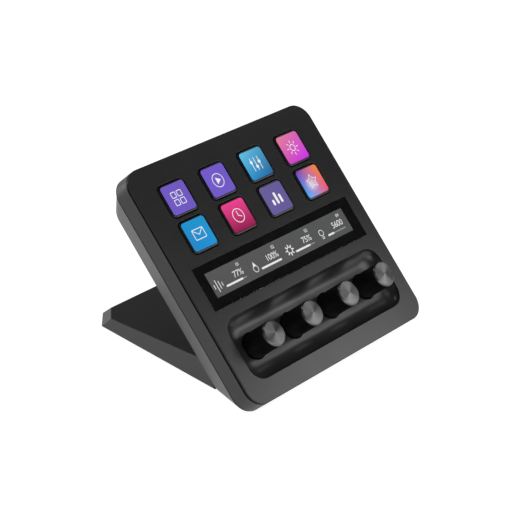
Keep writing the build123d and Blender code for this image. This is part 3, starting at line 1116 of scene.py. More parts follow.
@dataclass
class FacePlate:
    """Front cover with key windows, touch window and finger dish, as one closed skin."""

    deck: Deck
    keys: Sequence[Pair]
    knobs: Sequence[float]
    dish: FingerDish = field(default_factory=FingerDish)
    width: float = 140.0
    height: float = 131.2
    corner: float = 10.0
    corner_steps: int = 16
    thick: float = PLATE_THICK
    rim: float = 0.5
    inset: float = 1.6
    ease: float = 0.3
    soft: float = 0.12
    slant: float = 0.7
    soft_steps: int = 3
    key_window: Triple = (19.5, 18.8, 3.15)
    key_ease: float = 0.22
    strip_window: Triple = (122.2, 23.84, 0.8)
    strip_open: Triple = (117.0, 21.24, 0.4)
    strip_centre: float = STRIP_CENTRE
    strip_ledge: float = 1.15
    strip_ease: float = 0.12
    hole: float = 7.35
    hole_ease: float = 0.2
    hole_lead: float = 0.1
    lead: float = 0.04

    def outline(self, grow: float) -> Array:
        """Outline of the face, drawn out by grow."""
        size = grown((self.width, self.height, self.corner), grow)
        return rounded_loop(*size, (0, self.height / 2), self.corner_steps)

    def window(self, place: Pair, grow: float) -> Array:
        """Outline of a key window, drawn out by grow."""
        return rounded_loop(*grown(self.key_window, grow), place)

    def strip(self, grow: float) -> Array:
        """Outline of the touch window, drawn out by grow."""
        return rounded_loop(*grown(self.strip_window, grow), (0, self.strip_centre), arc=4)

    def strip_opening(self) -> Array:
        """Outline of the opening inside the touch window's ledge."""
        return rounded_loop(*self.strip_open, (0, self.strip_centre), arc=4)

    def knob_hole(self, x: float, grow: float) -> Array:
        """Outline of a knob's hole, drawn out by grow."""
        return circle_loop(self.hole + grow, (x, self.dish.centre))

    def add_edge(self, shell: Shell, loop: Callable[[float], Array], ease: float, foot: float) -> None:
        """Round a window's edge from the face down and run its wall to its foot.

        Args:
            shell: that takes the faces.
            loop: outline of the window by how far it is drawn out.
            ease: size of the rounded edge.
            foot: height of the wall's lower end.
        """
        start, edge = raised(loop(ease), 0), raised(loop(0), 0)
        end = raised(loop(0), -ease)
        shell.skin([raised(loop(ease + self.lead), 0), *eased(start, edge, end), raised(loop(0), foot)])

    def bevel(self) -> list[Array]:
        """Make the outer edge: a straight bevel whose two corners are each rounded a little.

        Returns:
            Loops from the face down to the wall.
        """
        ease, soft = self.ease, self.soft
        slope = self.slant * soft
        upper = eased(
            raised(self.outline(-ease - soft), 0),
            raised(self.outline(-ease), 0),
            raised(self.outline(slope - ease), -slope),
            self.soft_steps,
        )
        lower = eased(
            raised(self.outline(-slope), slope - ease),
            raised(self.outline(0), -ease),
            raised(self.outline(0), -ease - soft),
            self.soft_steps,
        )
        return [*upper, *lower]

    def add_front(self, shell: Shell) -> None:
        """Make the flat of the face, its outer edge and the edges of every window.

        Args:
            shell: that takes the faces.
        """
        start = self.outline(-self.ease - self.soft - self.lead)
        holes = [self.window(place, self.key_ease + self.lead) for place in self.keys]
        holes += [self.strip(self.strip_ease + self.lead), self.dish.loop(0, self.dish.lip + self.lead)]
        shell.fill(start, holes, 0.0)
        foot = raised(self.outline(0), -self.rim)
        shell.skin([raised(start, 0), *self.bevel(), foot])
        under = self.outline(-self.inset)
        # Zone 1, the inset wall behind the rim, takes the painted gap shade.
        shell.skin([foot, raised(under, -self.rim), raised(under, -self.thick)], zone=1)
        for place in self.keys:
            self.add_edge(shell, lambda grow, at=place: self.window(at, grow), self.key_ease, -self.thick)
        self.add_edge(shell, self.strip, self.strip_ease, -self.strip_ledge)
        opening = self.strip_opening()
        shell.skin([
            raised(self.strip(0), -self.strip_ledge),
            raised(opening, -self.strip_ledge),
            raised(opening, -self.thick),
        ])

    def add_dish(self, shell: Shell) -> None:
        """Make the dish from its lip to its floor, the knob holes' edges, and the tub behind.

        Args:
            shell: that takes the faces.
        """
        dish, floor = self.dish, -self.dish.depth
        depths = np.sin(np.radians(np.linspace(dish.first_angle, 90, dish.steps))) * dish.depth
        loops = [raised(dish.loop(float(d)), -float(d)) for d in depths]
        lip = eased(raised(dish.loop(0, dish.lip), 0), raised(dish.loop(0), 0), loops[0])
        shell.skin([raised(dish.loop(0, dish.lip + self.lead), 0), *lip, *loops[1:]])
        edge = self.hole_ease + self.hole_lead
        shell.fill(dish.loop(dish.depth), [self.knob_hole(x, edge) for x in self.knobs], floor)
        back = floor - dish.floor
        for x in self.knobs:
            outer, ring, wall = (self.knob_hole(x, grow) for grow in (edge, self.hole_ease, 0))
            end = raised(wall, floor - self.hole_ease)
            rounded = eased(raised(ring, floor), raised(wall, floor), end)
            shell.skin([raised(outer, floor), *rounded, raised(wall, back)])
        shell.skin([raised(dish.tub(-self.thick), -self.thick), raised(dish.tub(back), back)])
        shell.fill(dish.tub(back), [self.knob_hole(x, 0) for x in self.knobs], back)

    def build(self) -> Piece:
        """Make the whole plate and dress it.

        Returns:
            The piece.
        """
        shell = Shell()
        self.add_front(shell)
        self.add_dish(shell)
        holes = [self.window(place, 0) for place in self.keys]
        holes += [self.strip_opening(), self.dish.tub(-self.thick)]
        shell.fill(self.outline(-self.inset), holes, -self.thick)
        made = shell.finish("face_plate_skin", self.deck)
        return dress(made, [Wardrobe.face, Wardrobe.gap_shade], "base", ["face_plate"])


# ------------------------------------------------------------------ marks on displays
# Steps round a ring, a frame's corner and the end of a bar, and the smallest corner of a frame.
RING_STEPS = 40
CORNER_STEPS = 5
END_STEPS = 9
LEAST_CORNER = 0.01


@dataclass(frozen=True)
class Mark:
    """Flat mark between an outer loop and an inner one with as many points, which may meet."""

    outer: Array
    inner: Array

    def moved(self, centre: Pair, size: float = 1.0) -> "Mark":
        """The same mark, scaled and moved."""
        return Mark(self.outer * size + np.array(centre), self.inner * size + np.array(centre))


def ring_mark(radius: float, line: float, centre: Pair = (0, 0)) -> Mark:
    """Circle drawn with a line; a line as wide as the radius fills it."""
    loops = (circle_loop(reach, centre, RING_STEPS) for reach in (radius, max(radius - line, 0)))
    return Mark(*loops)


def frame_mark(width: float, height: float, corner: float, line: float, centre: Pair = (0, 0)) -> Mark:
    """Rounded rectangle drawn with a line.

    Args:
        width: across x.
        height: across u.
        corner: radius of its outer corners.
        line: width of the line.
        centre: middle of the rectangle.

    Returns:
        The mark.
    """
    inner = max(corner - line, LEAST_CORNER)
    return Mark(
        rounded_loop(width, height, corner, centre, arc=CORNER_STEPS),
        rounded_loop(width - 2 * line, height - 2 * line, inner, centre, arc=CORNER_STEPS),
    )


def bar_mark(start: Pair, end: Pair, line: float) -> Mark:
    """Straight line with round ends: half circles round both ends of a segment.

    Args:
        start: one end of the segment.
        end: the other end.
        line: width of the line.

    Returns:
        The mark.
    """
    a, b = np.array(start, float), np.array(end, float)
    heading = np.arctan2(*(b - a)[::-1])
    angles = np.linspace(-pi / 2, pi / 2, END_STEPS)
    halves = [heading + angles, heading + pi + angles]
    rims = [np.stack([np.cos(h), np.sin(h)], axis=1) * line / 2 for h in halves]
    middles = np.repeat(np.array([b, a]), END_STEPS, axis=0)
    return Mark(np.concatenate([b + rims[0], a + rims[1]]), middles)


def shape_mark(points: Sequence[Pair]) -> Mark:
    """Filled outline, all of which can be seen from its middle."""
    outer = np.array(points, float)
    return Mark(outer, np.repeat(outer.mean(axis=0, keepdims=True), len(outer), axis=0))


def spoke_marks(count: int, near: float, far: float, line: float) -> list[Mark]:
    """Lines that run outwards round a centre."""
    turns = np.arange(count) * TAU / count
    return [bar_mark((near * cos(t), near * sin(t)), (far * cos(t), far * sin(t)), line) for t in turns]


def emboss(shell: Shell, marks: Sequence[Mark], low: float, high: float) -> None:
    """Give flat marks a thickness, each as a closed band of quads.

    Args:
        shell: that takes the faces.
        marks: on the face.
        low: height of their backs.
        high: height of their fronts.
    """
    for mark in marks:
        top = [raised(mark.outer, low), raised(mark.outer, high), raised(mark.inner, high)]
        shell.skin([*top, raised(mark.inner, low), raised(mark.outer, low)])


class Motif(Enum):
    """Plain generic signs for the keys and the strip."""

    TILES = "tiles"
    PLAY = "play"
    SLIDERS = "sliders"
    SUN = "sun"
    LETTER = "letter"
    CLOCK = "clock"
    CHART = "chart"
    STAR = "star"
    WAVES = "waves"
    DROP = "drop"
    GEAR = "gear"
    BULB = "bulb"

    def marks(self, line: float = 0.42) -> list[Mark]:
        """Draw the sign within a square of ten millimetres round nought.

        Args:
            line: width of the lines of the keys' signs.

        Returns:
            The sign's marks.
        """
        if self is Motif.TILES:
            return [frame_mark(3.4, 3.4, 0.6, line, (x, y)) for x in (-2.1, 2.1) for y in (-2.1, 2.1)]
        if self is Motif.PLAY:
            return [ring_mark(3.9, line), shape_mark([(-1.2, -1.9), (2.1, 0), (-1.2, 1.9)])]
        if self is Motif.SLIDERS:
            bars = [bar_mark((x, -3.6), (x, 3.6), line) for x in (-2.8, 0, 2.8)]
            return bars + [ring_mark(0.95, 0.95, spot) for spot in ((-2.8, 1.4), (0, -1.6), (2.8, 0.6))]
        if self is Motif.SUN:
            return [ring_mark(2.0, line), *spoke_marks(8, 2.9, 4.1, line)]
        if self is Motif.LETTER:
            flap = [bar_mark((x, 2.4), (0, -0.4), line) for x in (-3.6, 3.6)]
            return [frame_mark(8.0, 5.8, 0.7, line), *flap]
        if self is Motif.CLOCK:
            return [ring_mark(3.9, line), *(bar_mark((0, 0), end, line) for end in ((0, 2.5), (1.9, -1.0)))]
        if self is Motif.CHART:
            return [bar_mark((x, -2.6), (x, top), 1.6) for x, top in ((-3, -1.0), (0, 2.5), (3, 0.7))]
        if self is Motif.STAR:
            turns = pi / 2 + np.arange(10) * pi / 5
            reach = np.where(np.arange(10) % 2 == 0, 4.4, 2.2)
            spots = np.stack([np.cos(turns), np.sin(turns)], axis=1) * reach[:, None]
            return [Mark(spots, spots * 0.84)]
        if self is Motif.WAVES:
            halves = ((-3.9, 1.4), (-1.3, 4.4), (1.3, 2.8), (3.9, 1.2))
            return [bar_mark((x, -half), (x, half), 0.6) for x, half in halves]
        if self is Motif.DROP:
            return [ring_mark(2.6, 0.5, (0, -1.2)), shape_mark([(-1.8, 0.6), (1.8, 0.6), (0, 4.2)])]
        if self is Motif.GEAR:
            return [ring_mark(2.6, 0.6), *spoke_marks(8, 2.9, 3.9, 1.0)]
        return [ring_mark(2.5, 0.5, (0, 1.0)), frame_mark(2.2, 1.7, 0.3, 0.4, (0, -2.9))]


# ------------------------------------------------------------------ keys
@dataclass(frozen=True)
class KeyPicture:
    """What one key shows."""

    slot: str
    motif: Motif
    picture: LitPicture


def picture(name: str, *corners: tuple[int, int, int], **glow: object) -> LitPicture:
    """Display picture from its lower left, lower right, upper left and upper right colours."""
    return LitPicture(name, tuple(linear(*c) for c in corners), **glow)


PICTURES: tuple[KeyPicture, ...] = (
    KeyPicture("key_purple", Motif.TILES, picture(
        "picture_purple", (113, 88, 200), (110, 87, 192), (111, 87, 194), (112, 86, 190))),
    KeyPicture("key_purple", Motif.PLAY, picture(
        "picture_lilac", (113, 88, 202), (112, 88, 196), (114, 88, 206), (113, 88, 198))),
    KeyPicture("key_blue", Motif.SLIDERS, picture(
        "picture_cyan", (30, 138, 202), (34, 96, 156), (94, 194, 230), (76, 158, 198))),
    KeyPicture("key_coral", Motif.SUN, picture(
        "picture_coral", (206, 68, 192), (206, 42, 232), (230, 126, 152), (216, 102, 178))),
    KeyPicture("key_azure", Motif.LETTER, picture(
        "picture_azure", (28, 132, 200), (26, 148, 218), (18, 146, 208), (22, 148, 202))),
    KeyPicture("key_pink", Motif.CLOCK, picture(
        "picture_pink", (142, 20, 72), (142, 20, 72), (234, 62, 138), (240, 64, 146))),
    KeyPicture("key_violet", Motif.CHART, picture(
        "picture_violet", (104, 90, 160), (100, 88, 148), (104, 94, 152), (101, 88, 156))),
    KeyPicture("key_orange", Motif.STAR, picture(
        "picture_many", (60, 180, 255), (236, 70, 110), (100, 40, 190), (250, 136, 30),
        glow=0.5, glow_at=(0.42, 0.42), glow_size=0.34)),
)


@dataclass
class KeyPad:
    """Eight clear keys with a lit picture and a sign on each."""

    deck: Deck
    places: Sequence[Pair]
    width: float = 18.6
    height: float = 17.9
    corner: float = 2.7
    least_corner: float = 0.2
    corner_steps: int = 10
    proud: float = 0.6
    shoulder: float = 0.85
    fall: float = 0.75
    shoulder_steps: int = 7
    picture_inset: float = 1.05
    picture_step: float = 0.05
    picture_low: float = 0.04
    ear: Triple = (24.0, 12.5, 0.3)
    ear_top: float = -2.05
    ear_bottom: float = -2.95
    foot: float = -3.6
    foot_inset: float = 0.8
    overlap: float = 0.01
    sign_proud: float = 0.015

    def loop(self, place: Pair, inset: float) -> Array:
        """Outline of a key drawn in by inset."""
        size = (self.width - 2 * inset, self.height - 2 * inset)
        return rounded_loop(*size, max(self.corner - inset, self.least_corner), place, self.corner_steps)

    def cap(self, number: int, place: Pair) -> Piece:
        """Make one key: sunken picture, flat rim, rounded shoulder, wall, ears and foot.

        Args:
            number: of the key, from one.
            place: its middle on the face.

        Returns:
            The piece.
        """
        shell = Shell()
        top, low = self.proud, self.proud - self.picture_low
        inner = raised(self.loop(place, self.picture_inset), low)
        middle = np.repeat(np.array([[*place, low]]), len(inner), axis=0)
        edge = raised(self.loop(place, self.picture_inset + self.picture_step), low)
        shell.skin([middle, edge, inner], zone=1)
        shoulder, wall = self.loop(place, self.shoulder), self.loop(place, 0)
        foot = self.loop(place, self.foot_inset)
        shell.skin([
            inner,
            raised(self.loop(place, self.picture_inset - self.picture_step), top),
            *eased(
                raised(shoulder, top), raised(wall, top), raised(wall, top - self.fall), self.shoulder_steps
            ),
            raised(wall, self.ear_bottom),
            raised(foot, self.ear_bottom),
            raised(foot, self.foot),
            np.repeat(np.array([[*place, self.foot]]), len(inner), axis=0),
        ])
        self.add_ears(shell, place)
        made = shell.finish(f"key_{number}_lens", self.deck)
        window = (self.width - 2 * self.picture_inset, self.height - 2 * self.picture_inset)
        map_flat(made, self.deck, place, window)
        look = PICTURES[number - 1]
        finishes = [Wardrobe.key_gloss, look.picture]
        return dress(made, finishes, f"key_{number}", [f"key_cap_{number}"])

    def add_ears(self, shell: Shell, place: Pair) -> None:
        """Make the two retaining ears as one closed bar through the key.

        Args:
            shell: that takes the faces.
            place: middle of the key.
        """
        ring = rounded_loop(*self.ear, place, arc=3)
        low, high = self.ear_bottom + self.overlap, self.ear_top
        middle = np.repeat(np.array([place]), len(ring), axis=0)
        shell.skin([raised(middle, low), raised(ring, low), raised(ring, high), raised(middle, high)])

    def sign(self, number: int, place: Pair) -> Piece:
        """Make the sign on a key's picture.

        Args:
            number: of the key, from one.
            place: its middle on the face.

        Returns:
            The piece.
        """
        shell, look = Shell(), PICTURES[number - 1]
        low = self.proud - self.picture_low
        marks = [mark.moved(place) for mark in look.motif.marks()]
        emboss(shell, marks, low - self.overlap, low + self.sign_proud)
        made = shell.finish(f"key_{number}_sign", self.deck)
        return dress(made, [Wardrobe.white], f"key_{number}")

    def build(self) -> None:
        """Make every key and its sign."""
        for number, place in enumerate(self.places, start=1):
            self.cap(number, place)
            self.sign(number, place)


# ------------------------------------------------------------------ touch strip
@dataclass(frozen=True)
class Dial:
    """One quarter of the strip: a sign, a number and a level bar, with places across the face."""

    motif: Motif
    sign_x: float
    number: str
    number_right: float
    bar: Pair
    level: float


DIALS: tuple[Dial, ...] = (
    Dial(Motif.WAVES, -49.8, "77%", -30.4, (-44.8, -30.3), 0.79),
    Dial(Motif.DROP, -21.9, "100%", -3.0, (-17.7, -3.0), 1.0),
    Dial(Motif.GEAR, 5.5, "75%", 24.0, (9.5, 24.0), 0.74),
    Dial(Motif.BULB, 32.0, "5600", 50.4, (36.2, 50.2), 0.29),
)


@dataclass
class TouchStrip:
    """Cover glass over a black module with a lit picture."""

    deck: Deck
    centre: float = STRIP_CENTRE
    glass: Triple = (121.9, 23.54, 0.8)
    glass_thick: float = 1.08
    ease: float = 0.12
    lead: float = 0.03
    least_corner: float = 0.05
    edge_steps: int = 3
    module: Triple = (116.2, 20.44, 0.5)
    module_top: float = -1.16
    module_back: float = -3.75
    module_ease: float = 0.15
    screen: Triple = (108.8, 13.4, 0.15)
    screen_centre: float = 63.35
    screen_thick: float = 0.02
    screen_ease: float = 0.01
    window: Triple = (109.2, 13.8, 0.3)
    mark_thick: float = 0.02
    mark_sink: float = 0.005
    sign_row: float = 62.0
    sign_size: float = 0.72
    number_row: float = 61.9
    number_size: float = 4.7
    count_row: float = 66.6
    count_size: float = 2.6
    letter_space: float = 0.92
    letter_steps: int = 4
    bar_row: float = 59.85
    bar_line: float = 1.05
    rest_line: float = 0.7

    def plate(
        self,
        size: Triple,
        centre: float,
        low: float,
        high: float,
        ease: float,
        window: Optional[Array] = None,
    ) -> Shell:
        """Closed slab with rounded upper and lower edges.

        Args:
            size: width, height and corner radius.
            centre: middle of its height on the face.
            low: height of its back.
            high: height of its front.
            ease: size of the rounded edges.
            window: outline on its back; the rest of the back and the edges become zone 1.

        Returns:
            The slab, still open to more faces.
        """
        width, height, corner = size

        def loop(inset: float) -> Array:
            """Outline of the slab drawn in by inset."""
            inner = (width - 2 * inset, height - 2 * inset, max(corner - inset, self.least_corner))
            return rounded_loop(*inner, (0, centre), arc=6)

        wall, edge, flat = loop(0), loop(ease), loop(ease + self.lead)
        upper = eased(raised(edge, high), raised(wall, high), raised(wall, high - ease), self.edge_steps)
        lower = eased(raised(wall, low + ease), raised(wall, low), raised(edge, low), self.edge_steps)
        shell = Shell()
        back = 0 if window is None else 1
        shell.skin([raised(flat, high), *upper])
        shell.skin([upper[-1], *lower, raised(flat, low)], zone=back)
        shell.fill(flat, [], high)
        shell.fill(flat, [] if window is None else [window], low, zone=back)
        if window is not None:
            shell.fill(window, [], low)
        return shell

    def build_glass(self) -> None:
        """The cover glass, with black print on its back and edges round the screen."""
        window = rounded_loop(*self.window, (0, self.screen_centre), arc=4)
        shell = self.plate(self.glass, self.centre, -self.glass_thick, 0.0, self.ease, window)
        finishes = [Wardrobe.glass, Wardrobe.glass_print]
        dress(shell.finish("strip_glass", self.deck), finishes, "base", ["touch_glass"])

    def build_module(self) -> None:
        """The black module under the glass and the lit ground of its picture."""
        top, thick = self.module_top, self.screen_thick
        shell = self.plate(self.module, self.centre, self.module_back, top, self.module_ease)
        made = shell.finish("strip_module", self.deck)
        dress(made, [Wardrobe.module], "base", ["touch_display"])
        shell = self.plate(self.screen, self.screen_centre, top - thick, top + thick, self.screen_ease)
        made = shell.finish("strip_screen", self.deck)
        map_flat(made, self.deck, (0, self.screen_centre), self.screen[:2])
        ground = picture("screen_ground", (84, 85, 84), (84, 86, 84), (88, 89, 88), (86, 88, 87))
        dress(made, [ground], "base")

    def build_marks(self) -> None:
        """Signs and level bars on the lit ground."""
        bright, pale, row = Shell(), Shell(), self.bar_row
        for dial in DIALS:
            sign = [mark.moved((dial.sign_x, self.sign_row), self.sign_size) for mark in dial.motif.marks()]
            start, end = dial.bar
            mid = start + (end - start) * dial.level
            emboss(bright, [*sign, bar_mark((start, row), (mid, row), self.bar_line)], *self.mark_levels())
            if dial.level < 1:
                rest = bar_mark((mid + self.rest_line, row), (end, row), self.rest_line)
                emboss(pale, [rest], *self.mark_levels())
        dress(bright.finish("strip_marks", self.deck), [Wardrobe.white], "base")
        dress(pale.finish("strip_marks_dim", self.deck), [Wardrobe.dim], "base")

    def mark_levels(self) -> Pair:
        """Heights of the marks' backs, sunk a little into the lit ground, and of their fronts."""
        low = self.module_top + self.screen_thick - self.mark_sink
        return (low, low + self.mark_thick)

    def build_numbers(self) -> None:
        """Each dial's reading, and its count above it."""
        for number, dial in enumerate(DIALS, start=1):
            reading, count = (dial.number_right, self.number_row), (dial.number_right, self.count_row)
            self.build_number(f"strip_number_{number}", dial.number, reading, self.number_size)
            self.build_number(f"strip_count_{number}", f"0{number}", count, self.count_size)

    def build_number(self, name: str, text: str, place: Pair, size: float) -> None:
        """Set one plain number flush right at its place.

        Args:
            name: of the piece.
            text: the number.
            place: its right end on the face.
            size: height of the letters' body.
        """
        low, high = self.mark_levels()
        words = bpy.data.curves.new(name, "FONT")
        words.body = text
        words.size = size
        words.space_character = self.letter_space
        words.align_x = "RIGHT"
        words.extrude = (high - low) / 2
        words.resolution_u = self.letter_steps
        holder = bpy.data.objects.new("number_curve", words)
        bpy.context.scene.collection.objects.link(holder)
        bpy.context.view_layer.update()
        solid = holder.evaluated_get(bpy.context.evaluated_depsgraph_get())
        mesh = bpy.data.meshes.new_from_object(solid)
        bpy.data.objects.remove(holder)
        mesh.transform(Matrix.Translation((*place, (low + high) / 2)))
        mesh.transform(self.deck.matrix())
        weld(mesh)
        mesh.materials.clear()
        made = bpy.data.objects.new(name, mesh)
        bpy.context.scene.collection.objects.link(made)
        dress(made, [Wardrobe.white], "base")

    def build(self) -> None:
        """Make the whole strip."""
        self.build_glass()
        self.build_module()
        self.build_marks()
        self.build_numbers()


# ------------------------------------------------------------------ knobs
@dataclass
class KnobRow:
    """Four knobs: a ribbed sleeve and a turned metal cap each."""

    deck: Deck
    xs: Sequence[float]
    u: float = KNOB_CENTRE
    radius: float = 6.85
    base: float = -7.0
    top: float = 12.15
    bore: float = 3.0
    bore_top: float = 5.6
    rib: float = 0.16
    ribs: int = 60
    rib_steps: int = 6
    rib_start: float = 0.6
    rib_end: float = 1.1
    collar: float = 0.85
    lower_rim: tuple[Pair, ...] = ((0.3, 0.0), (0.08, 0.08), (0.0, 0.3))
    upper_rim: tuple[Pair, ...] = ((0.0, 0.3), (0.06, 0.12), (0.18, 0.02), (0.24, 0.0), (0.4, 0.0))
    cap_thick: float = 1.1
    cap_inset: float = 0.12
    cap_steps: int = 128
    chamfer: float = 0.5
    soft: float = 0.02
    wall_lead: float = 0.05
    face_lead: float = 0.1
    crown: float = 0.45
    crown_rings: int = 6
    cap_crease: float = 25.0

    def sleeve(self, number: int, x: float) -> Piece:
        """Make a ribbed sleeve: bore, lower rim, ribbed wall, plain collar and the cap's seat.

        The rims' points tell how far in from the radius they are, and how far from the sleeve's end.

        Args:
            number: of the knob, from one.
            x: place of its axis.

        Returns:
            The piece.
        """
        r, base, seat = self.radius, self.base, self.top - self.cap_thick
        profile = np.array([
            (0, self.bore_top, 0), (self.bore, self.bore_top, 0), (self.bore, base, 0),
            *((r - inward, base + above, 0) for inward, above in self.lower_rim),
            (r, base + self.rib_start, 1), (r, 0, 1), (r, seat - self.rib_end, 1),
            (r, seat - self.collar, 0),
            *((r - inward, seat - below, 0) for inward, below in self.upper_rim),
            (0, seat, 0),
        ], float)
        shell = Shell()
        shell.turn(profile, (x, self.u), self.ribs * self.rib_steps, self.rib, self.ribs)
        made = shell.finish(f"knob_{number}_sleeve", self.deck)
        return dress(made, [Wardrobe.knob_gloss], f"knob_{number}", [f"knob_body_{number}"])

    def cap(self, number: int, x: float) -> Piece:
        """Make a turned cap: wall, crisp chamfer and a face that falls evenly from its middle.

        Args:
            number: of the knob, from one.
            x: place of its axis.

        Returns:
            The piece.
        """
        r, seat = self.radius - self.cap_inset, self.top - self.cap_thick
        rim, soft = self.top - self.crown, self.soft
        inner, lower = r - self.chamfer, rim - self.chamfer
        reaches = np.linspace(inner - self.face_lead, 0, self.crown_rings)
        profile = np.array([
            (0, seat, 0), (r, seat, 0), (r, lower - self.wall_lead, 0), (r - soft, lower, 0),
            (inner, rim - soft, 0), (inner - 2 * soft, rim, 0),
            *((reach, self.top - self.crown * reach / inner, 0) for reach in reaches),
        ], float)
        shell = Shell()
        shell.turn(profile, (x, self.u), self.cap_steps)
        made = shell.finish(f"knob_{number}_cap", self.deck, self.cap_crease)
        map_polar(made, self.deck, (x, self.u), r)
        return dress(made, [Wardrobe.spun], f"knob_{number}", [f"knob_cap_{number}"])

    def build(self) -> None:
        """Make every knob."""
        for number, x in enumerate(self.xs, start=1):
            self.sleeve(number, x)
            self.cap(number, x)


# ------------------------------------------------------------------ carried solids
class CarriedSolids:
    """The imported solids, those that show and those inside: each gets its finish by its slot."""

    def dress(self) -> None:
        """Swap every solid's plain material for its finish."""
        for name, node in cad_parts.items():
            for index, entry in enumerate(node.material_slots):
                slot = entry.material.name.split(".")[0]
                finish = Wardrobe.slots.get(slot, Wardrobe.key_gloss)
                node.data.materials[index] = finish.material()
            log.info("%s: its solid is dressed", name)


# ------------------------------------------------------------------ studio
@dataclass(frozen=True)
class Lamp:
    """One soft area light."""

    name: str
    place: Triple
    aim: Triple
    size: Pair
    power: float

    def build(self) -> None:
        """Make the light and turn it to its aim."""
        data = bpy.data.lights.new(self.name, "AREA")
        data.shape = "RECTANGLE"
        data.size, data.size_y = self.size
        data.energy = self.power
        made = bpy.data.objects.new(self.name, data)
        made.location = self.place
        made.rotation_euler = (Vector(self.aim) - Vector(self.place)).to_track_quat("-Z", "Y").to_euler()
        made.visible_camera = False
        bpy.context.scene.collection.objects.link(made)
        log.info("light %s", self.name)


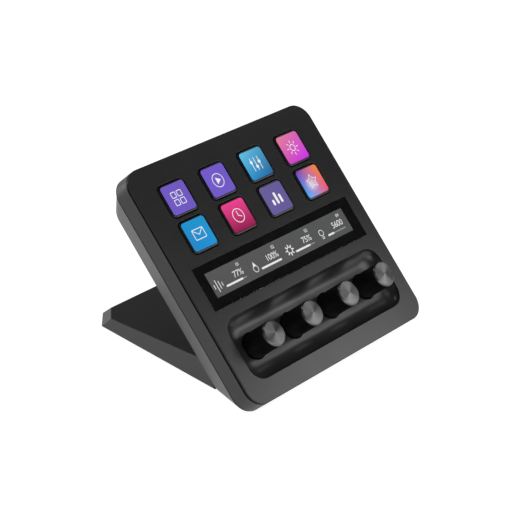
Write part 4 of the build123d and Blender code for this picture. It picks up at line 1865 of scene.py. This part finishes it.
@dataclass
class Studio:
    """Pale floor, plain soft light and the camera."""

    camera_place: Triple = (-0.68723, -0.58933, 0.4572)
    camera_forward: Triple = (0.697223, 0.583487, -0.416441)
    camera_right: Triple = (0.642632, -0.766171, 0.002417)
    lens: float = 132.2
    sensor: float = 36.0
    clip: Pair = (0.01, 100.0)
    floor_radius: float = 6.0
    floor_rings: int = 13
    floor_steps: int = 96
    floor_tone: float = 0.4
    floor_rough: float = 0.9
    floor_glow: float = 0.92
    world_level: float = 0.39
    overhead: float = 0.05
    fade: float = 0.25
    lamps: tuple[Lamp, ...] = (
        Lamp("side_softbox", (-1.1, 0.15, 0.45), (0, 0, 0.05), (0.9, 0.9), 1.5),
        Lamp("back_card", (-0.3, 1.0, 0.16), (0, 0, 0.05), (0.4, 0.2), 1.56),
        Lamp("front_card", (-0.1, -0.7, 0.12), (0, -0.05, 0.05), (0.4, 0.2), 0.65),
        Lamp("near_card", (0.30, -0.34, 0.218), (0.02, -0.05, 0.03), (0.2, 0.1), 0.155),
        Lamp("low_card", (0.22, -0.28, 0.163), (0.02, -0.05, 0.03), (0.16, 0.108), 0.08),
        Lamp("high_card", (0.56, -0.21, 0.58), (0, -0.05, 0.03), (0.12, 0.12), 0.08),
        Lamp("left_card", (0.08, -0.22, 0.262), (-0.06, -0.03, 0.05), (0.08, 0.1), 0.03),
        Lamp("glint_card", (-0.25, 0.23, 1.15), (0, -0.05, 0.03), (0.2, 0.2), 0.8),
    )

    def build_camera(self) -> None:
        """The camera from its place, heading and level."""
        data = bpy.data.cameras.new("camera")
        data.sensor_width = self.sensor
        data.lens = self.lens
        data.clip_start, data.clip_end = self.clip
        made = bpy.data.objects.new("camera", data)
        forward, right = Vector(self.camera_forward).normalized(), Vector(self.camera_right)
        right = (right - forward * forward.dot(right)).normalized()
        up = right.cross(forward)
        turn = Matrix((right, up, -forward)).transposed().to_4x4()
        made.matrix_world = Matrix.Translation(self.camera_place) @ turn
        bpy.context.scene.collection.objects.link(made)
        bpy.context.scene.camera = made

    def build_floor(self) -> None:
        """Round floor: rings of a disc whose radii grow evenly."""
        rings, steps = self.floor_rings, self.floor_steps
        angles = np.arange(steps) * TAU / steps
        radii = np.linspace(0, self.floor_radius, rings)[:, None]
        level = np.zeros((rings, steps))
        grid = np.stack([radii * np.cos(angles), radii * np.sin(angles), level], axis=-1)
        index = np.arange(rings * steps).reshape(rings, steps)
        after = np.roll(index, -1, axis=1)
        faces = np.stack([index[:-1], index[1:], after[1:], after[:-1]], axis=-1).reshape(-1, 4)
        mesh = bpy.data.meshes.new("floor")
        mesh.from_pydata(grid.reshape(-1, 3).tolist(), [], faces.tolist())
        weld(mesh)
        made = bpy.data.objects.new("floor", mesh)
        bpy.context.scene.collection.objects.link(made)
        mesh.materials.append(self.floor_material())

    def floor_material(self) -> bpy.types.Material:
        """Make a pale floor that looks white to the eye, to metal and to glass, and keeps the shadow.

        Returns:
            The floor's material.
        """
        made = bpy.data.materials.new("pale_floor")
        made.use_nodes = True
        made.node_tree.nodes.clear()
        wiring = Wiring(made.node_tree)
        glow = wiring.math("MULTIPLY", self.seen(wiring), self.floor_glow)
        shader = wiring.add("BsdfPrincipled", {
            "Base Color": shaded((1.0, 1.0, 1.0), self.floor_tone),
            "Roughness": self.floor_rough,
            "Specular IOR Level": 0.0,
        })
        light = wiring.add("Emission", {"Color": WHITE, "Strength": glow})
        both = wiring.add("AddShader", {0: shader.outputs[0], 1: light.outputs[0]})
        wiring.add("OutputMaterial", {"Surface": both.outputs[0]})
        return made

    @staticmethod
    def seen(wiring: Wiring) -> Socket:
        """Tell the rays that see a backdrop as it is from those that are lit by it.

        Args:
            wiring: of the material or the world.

        Returns:
            One for camera, glossy and transmission rays, nought for the rest.
        """
        path = wiring.add("LightPath")
        first = wiring.math("ADD", path.outputs["Is Camera Ray"], path.outputs["Is Glossy Ray"])
        return wiring.math("ADD", first, path.outputs["Is Transmission Ray"], clamp=True)

    def build_world(self) -> None:
        """White low down and darker overhead for reflections, an even soft level for the rest."""
        world = bpy.data.worlds.new("studio")
        bpy.context.scene.world = world
        world.use_nodes = True
        world.node_tree.nodes.clear()
        wiring = Wiring(world.node_tree)
        height = wiring.add("SeparateXYZ", {0: wiring.add("TexCoord").outputs["Generated"]}).outputs[2]
        shade = wiring.add(
            "MapRange",
            {0: height, 1: 0.0, 2: self.fade, 3: 1.0, 4: self.overhead},
            interpolation_type="SMOOTHSTEP",
        )
        path = wiring.add("LightPath")
        bent = (path.outputs["Is Glossy Ray"], path.outputs["Is Transmission Ray"])
        mirrored = wiring.math("ADD", *bent, clamp=True)
        level = wiring.math("MULTIPLY_ADD", shade.outputs[0], mirrored, path.outputs["Is Camera Ray"])
        rest = wiring.math("SUBTRACT", 1.0, self.seen(wiring))
        level = wiring.math("MULTIPLY_ADD", rest, self.world_level, level)
        light = wiring.add("Background", {"Color": WHITE, "Strength": level})
        wiring.add("OutputWorld", {"Surface": light.outputs[0]})

    def build(self) -> None:
        """Set the whole studio."""
        self.build_floor()
        self.build_world()
        for lamp in self.lamps:
            lamp.build()
        self.build_camera()
        bpy.context.scene.view_settings.view_transform = "Standard"


# ------------------------------------------------------------------ the whole keypad
def clear_start_scene() -> None:
    """Remove what a new scene starts with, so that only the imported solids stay."""
    for name in ("Cube", "Light", "Camera"):
        if name in bpy.data.objects:
            bpy.data.objects.remove(bpy.data.objects[name])


def node_places(deck: Deck, names: Sequence[str]) -> list[Pair]:
    """Middle of each named solid on the face, from its box.

    Args:
        deck: frame of the face.
        names: of the solids.

    Returns:
        Pairs of x, u.
    """
    boxes = [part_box(name) for name in names]
    middles = deck.locate(np.array([tuple((low + high) / 2) for low, high in boxes]))
    return [(round(float(x), 3), round(float(u), 3)) for x, u, _ in middles]


def main() -> None:
    """Build the keypad, piece by piece, and its studio."""
    logging.basicConfig(level=logging.INFO, format="%(name)s: %(message)s")
    clear_start_scene()
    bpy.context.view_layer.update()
    keys = node_places(DECK, [f"key_cap_{i}" for i in range(1, 9)])
    knobs = [x for x, _ in node_places(DECK, [f"knob_cap_{i}" for i in range(1, 5)])]
    CarriedSolids().dress()
    FacePlate(DECK, keys, knobs).build()
    KeyPad(DECK, keys).build()
    TouchStrip(DECK).build()
    KnobRow(DECK, knobs).build()
    Studio().build()


if __name__ == "__main__":
    main()
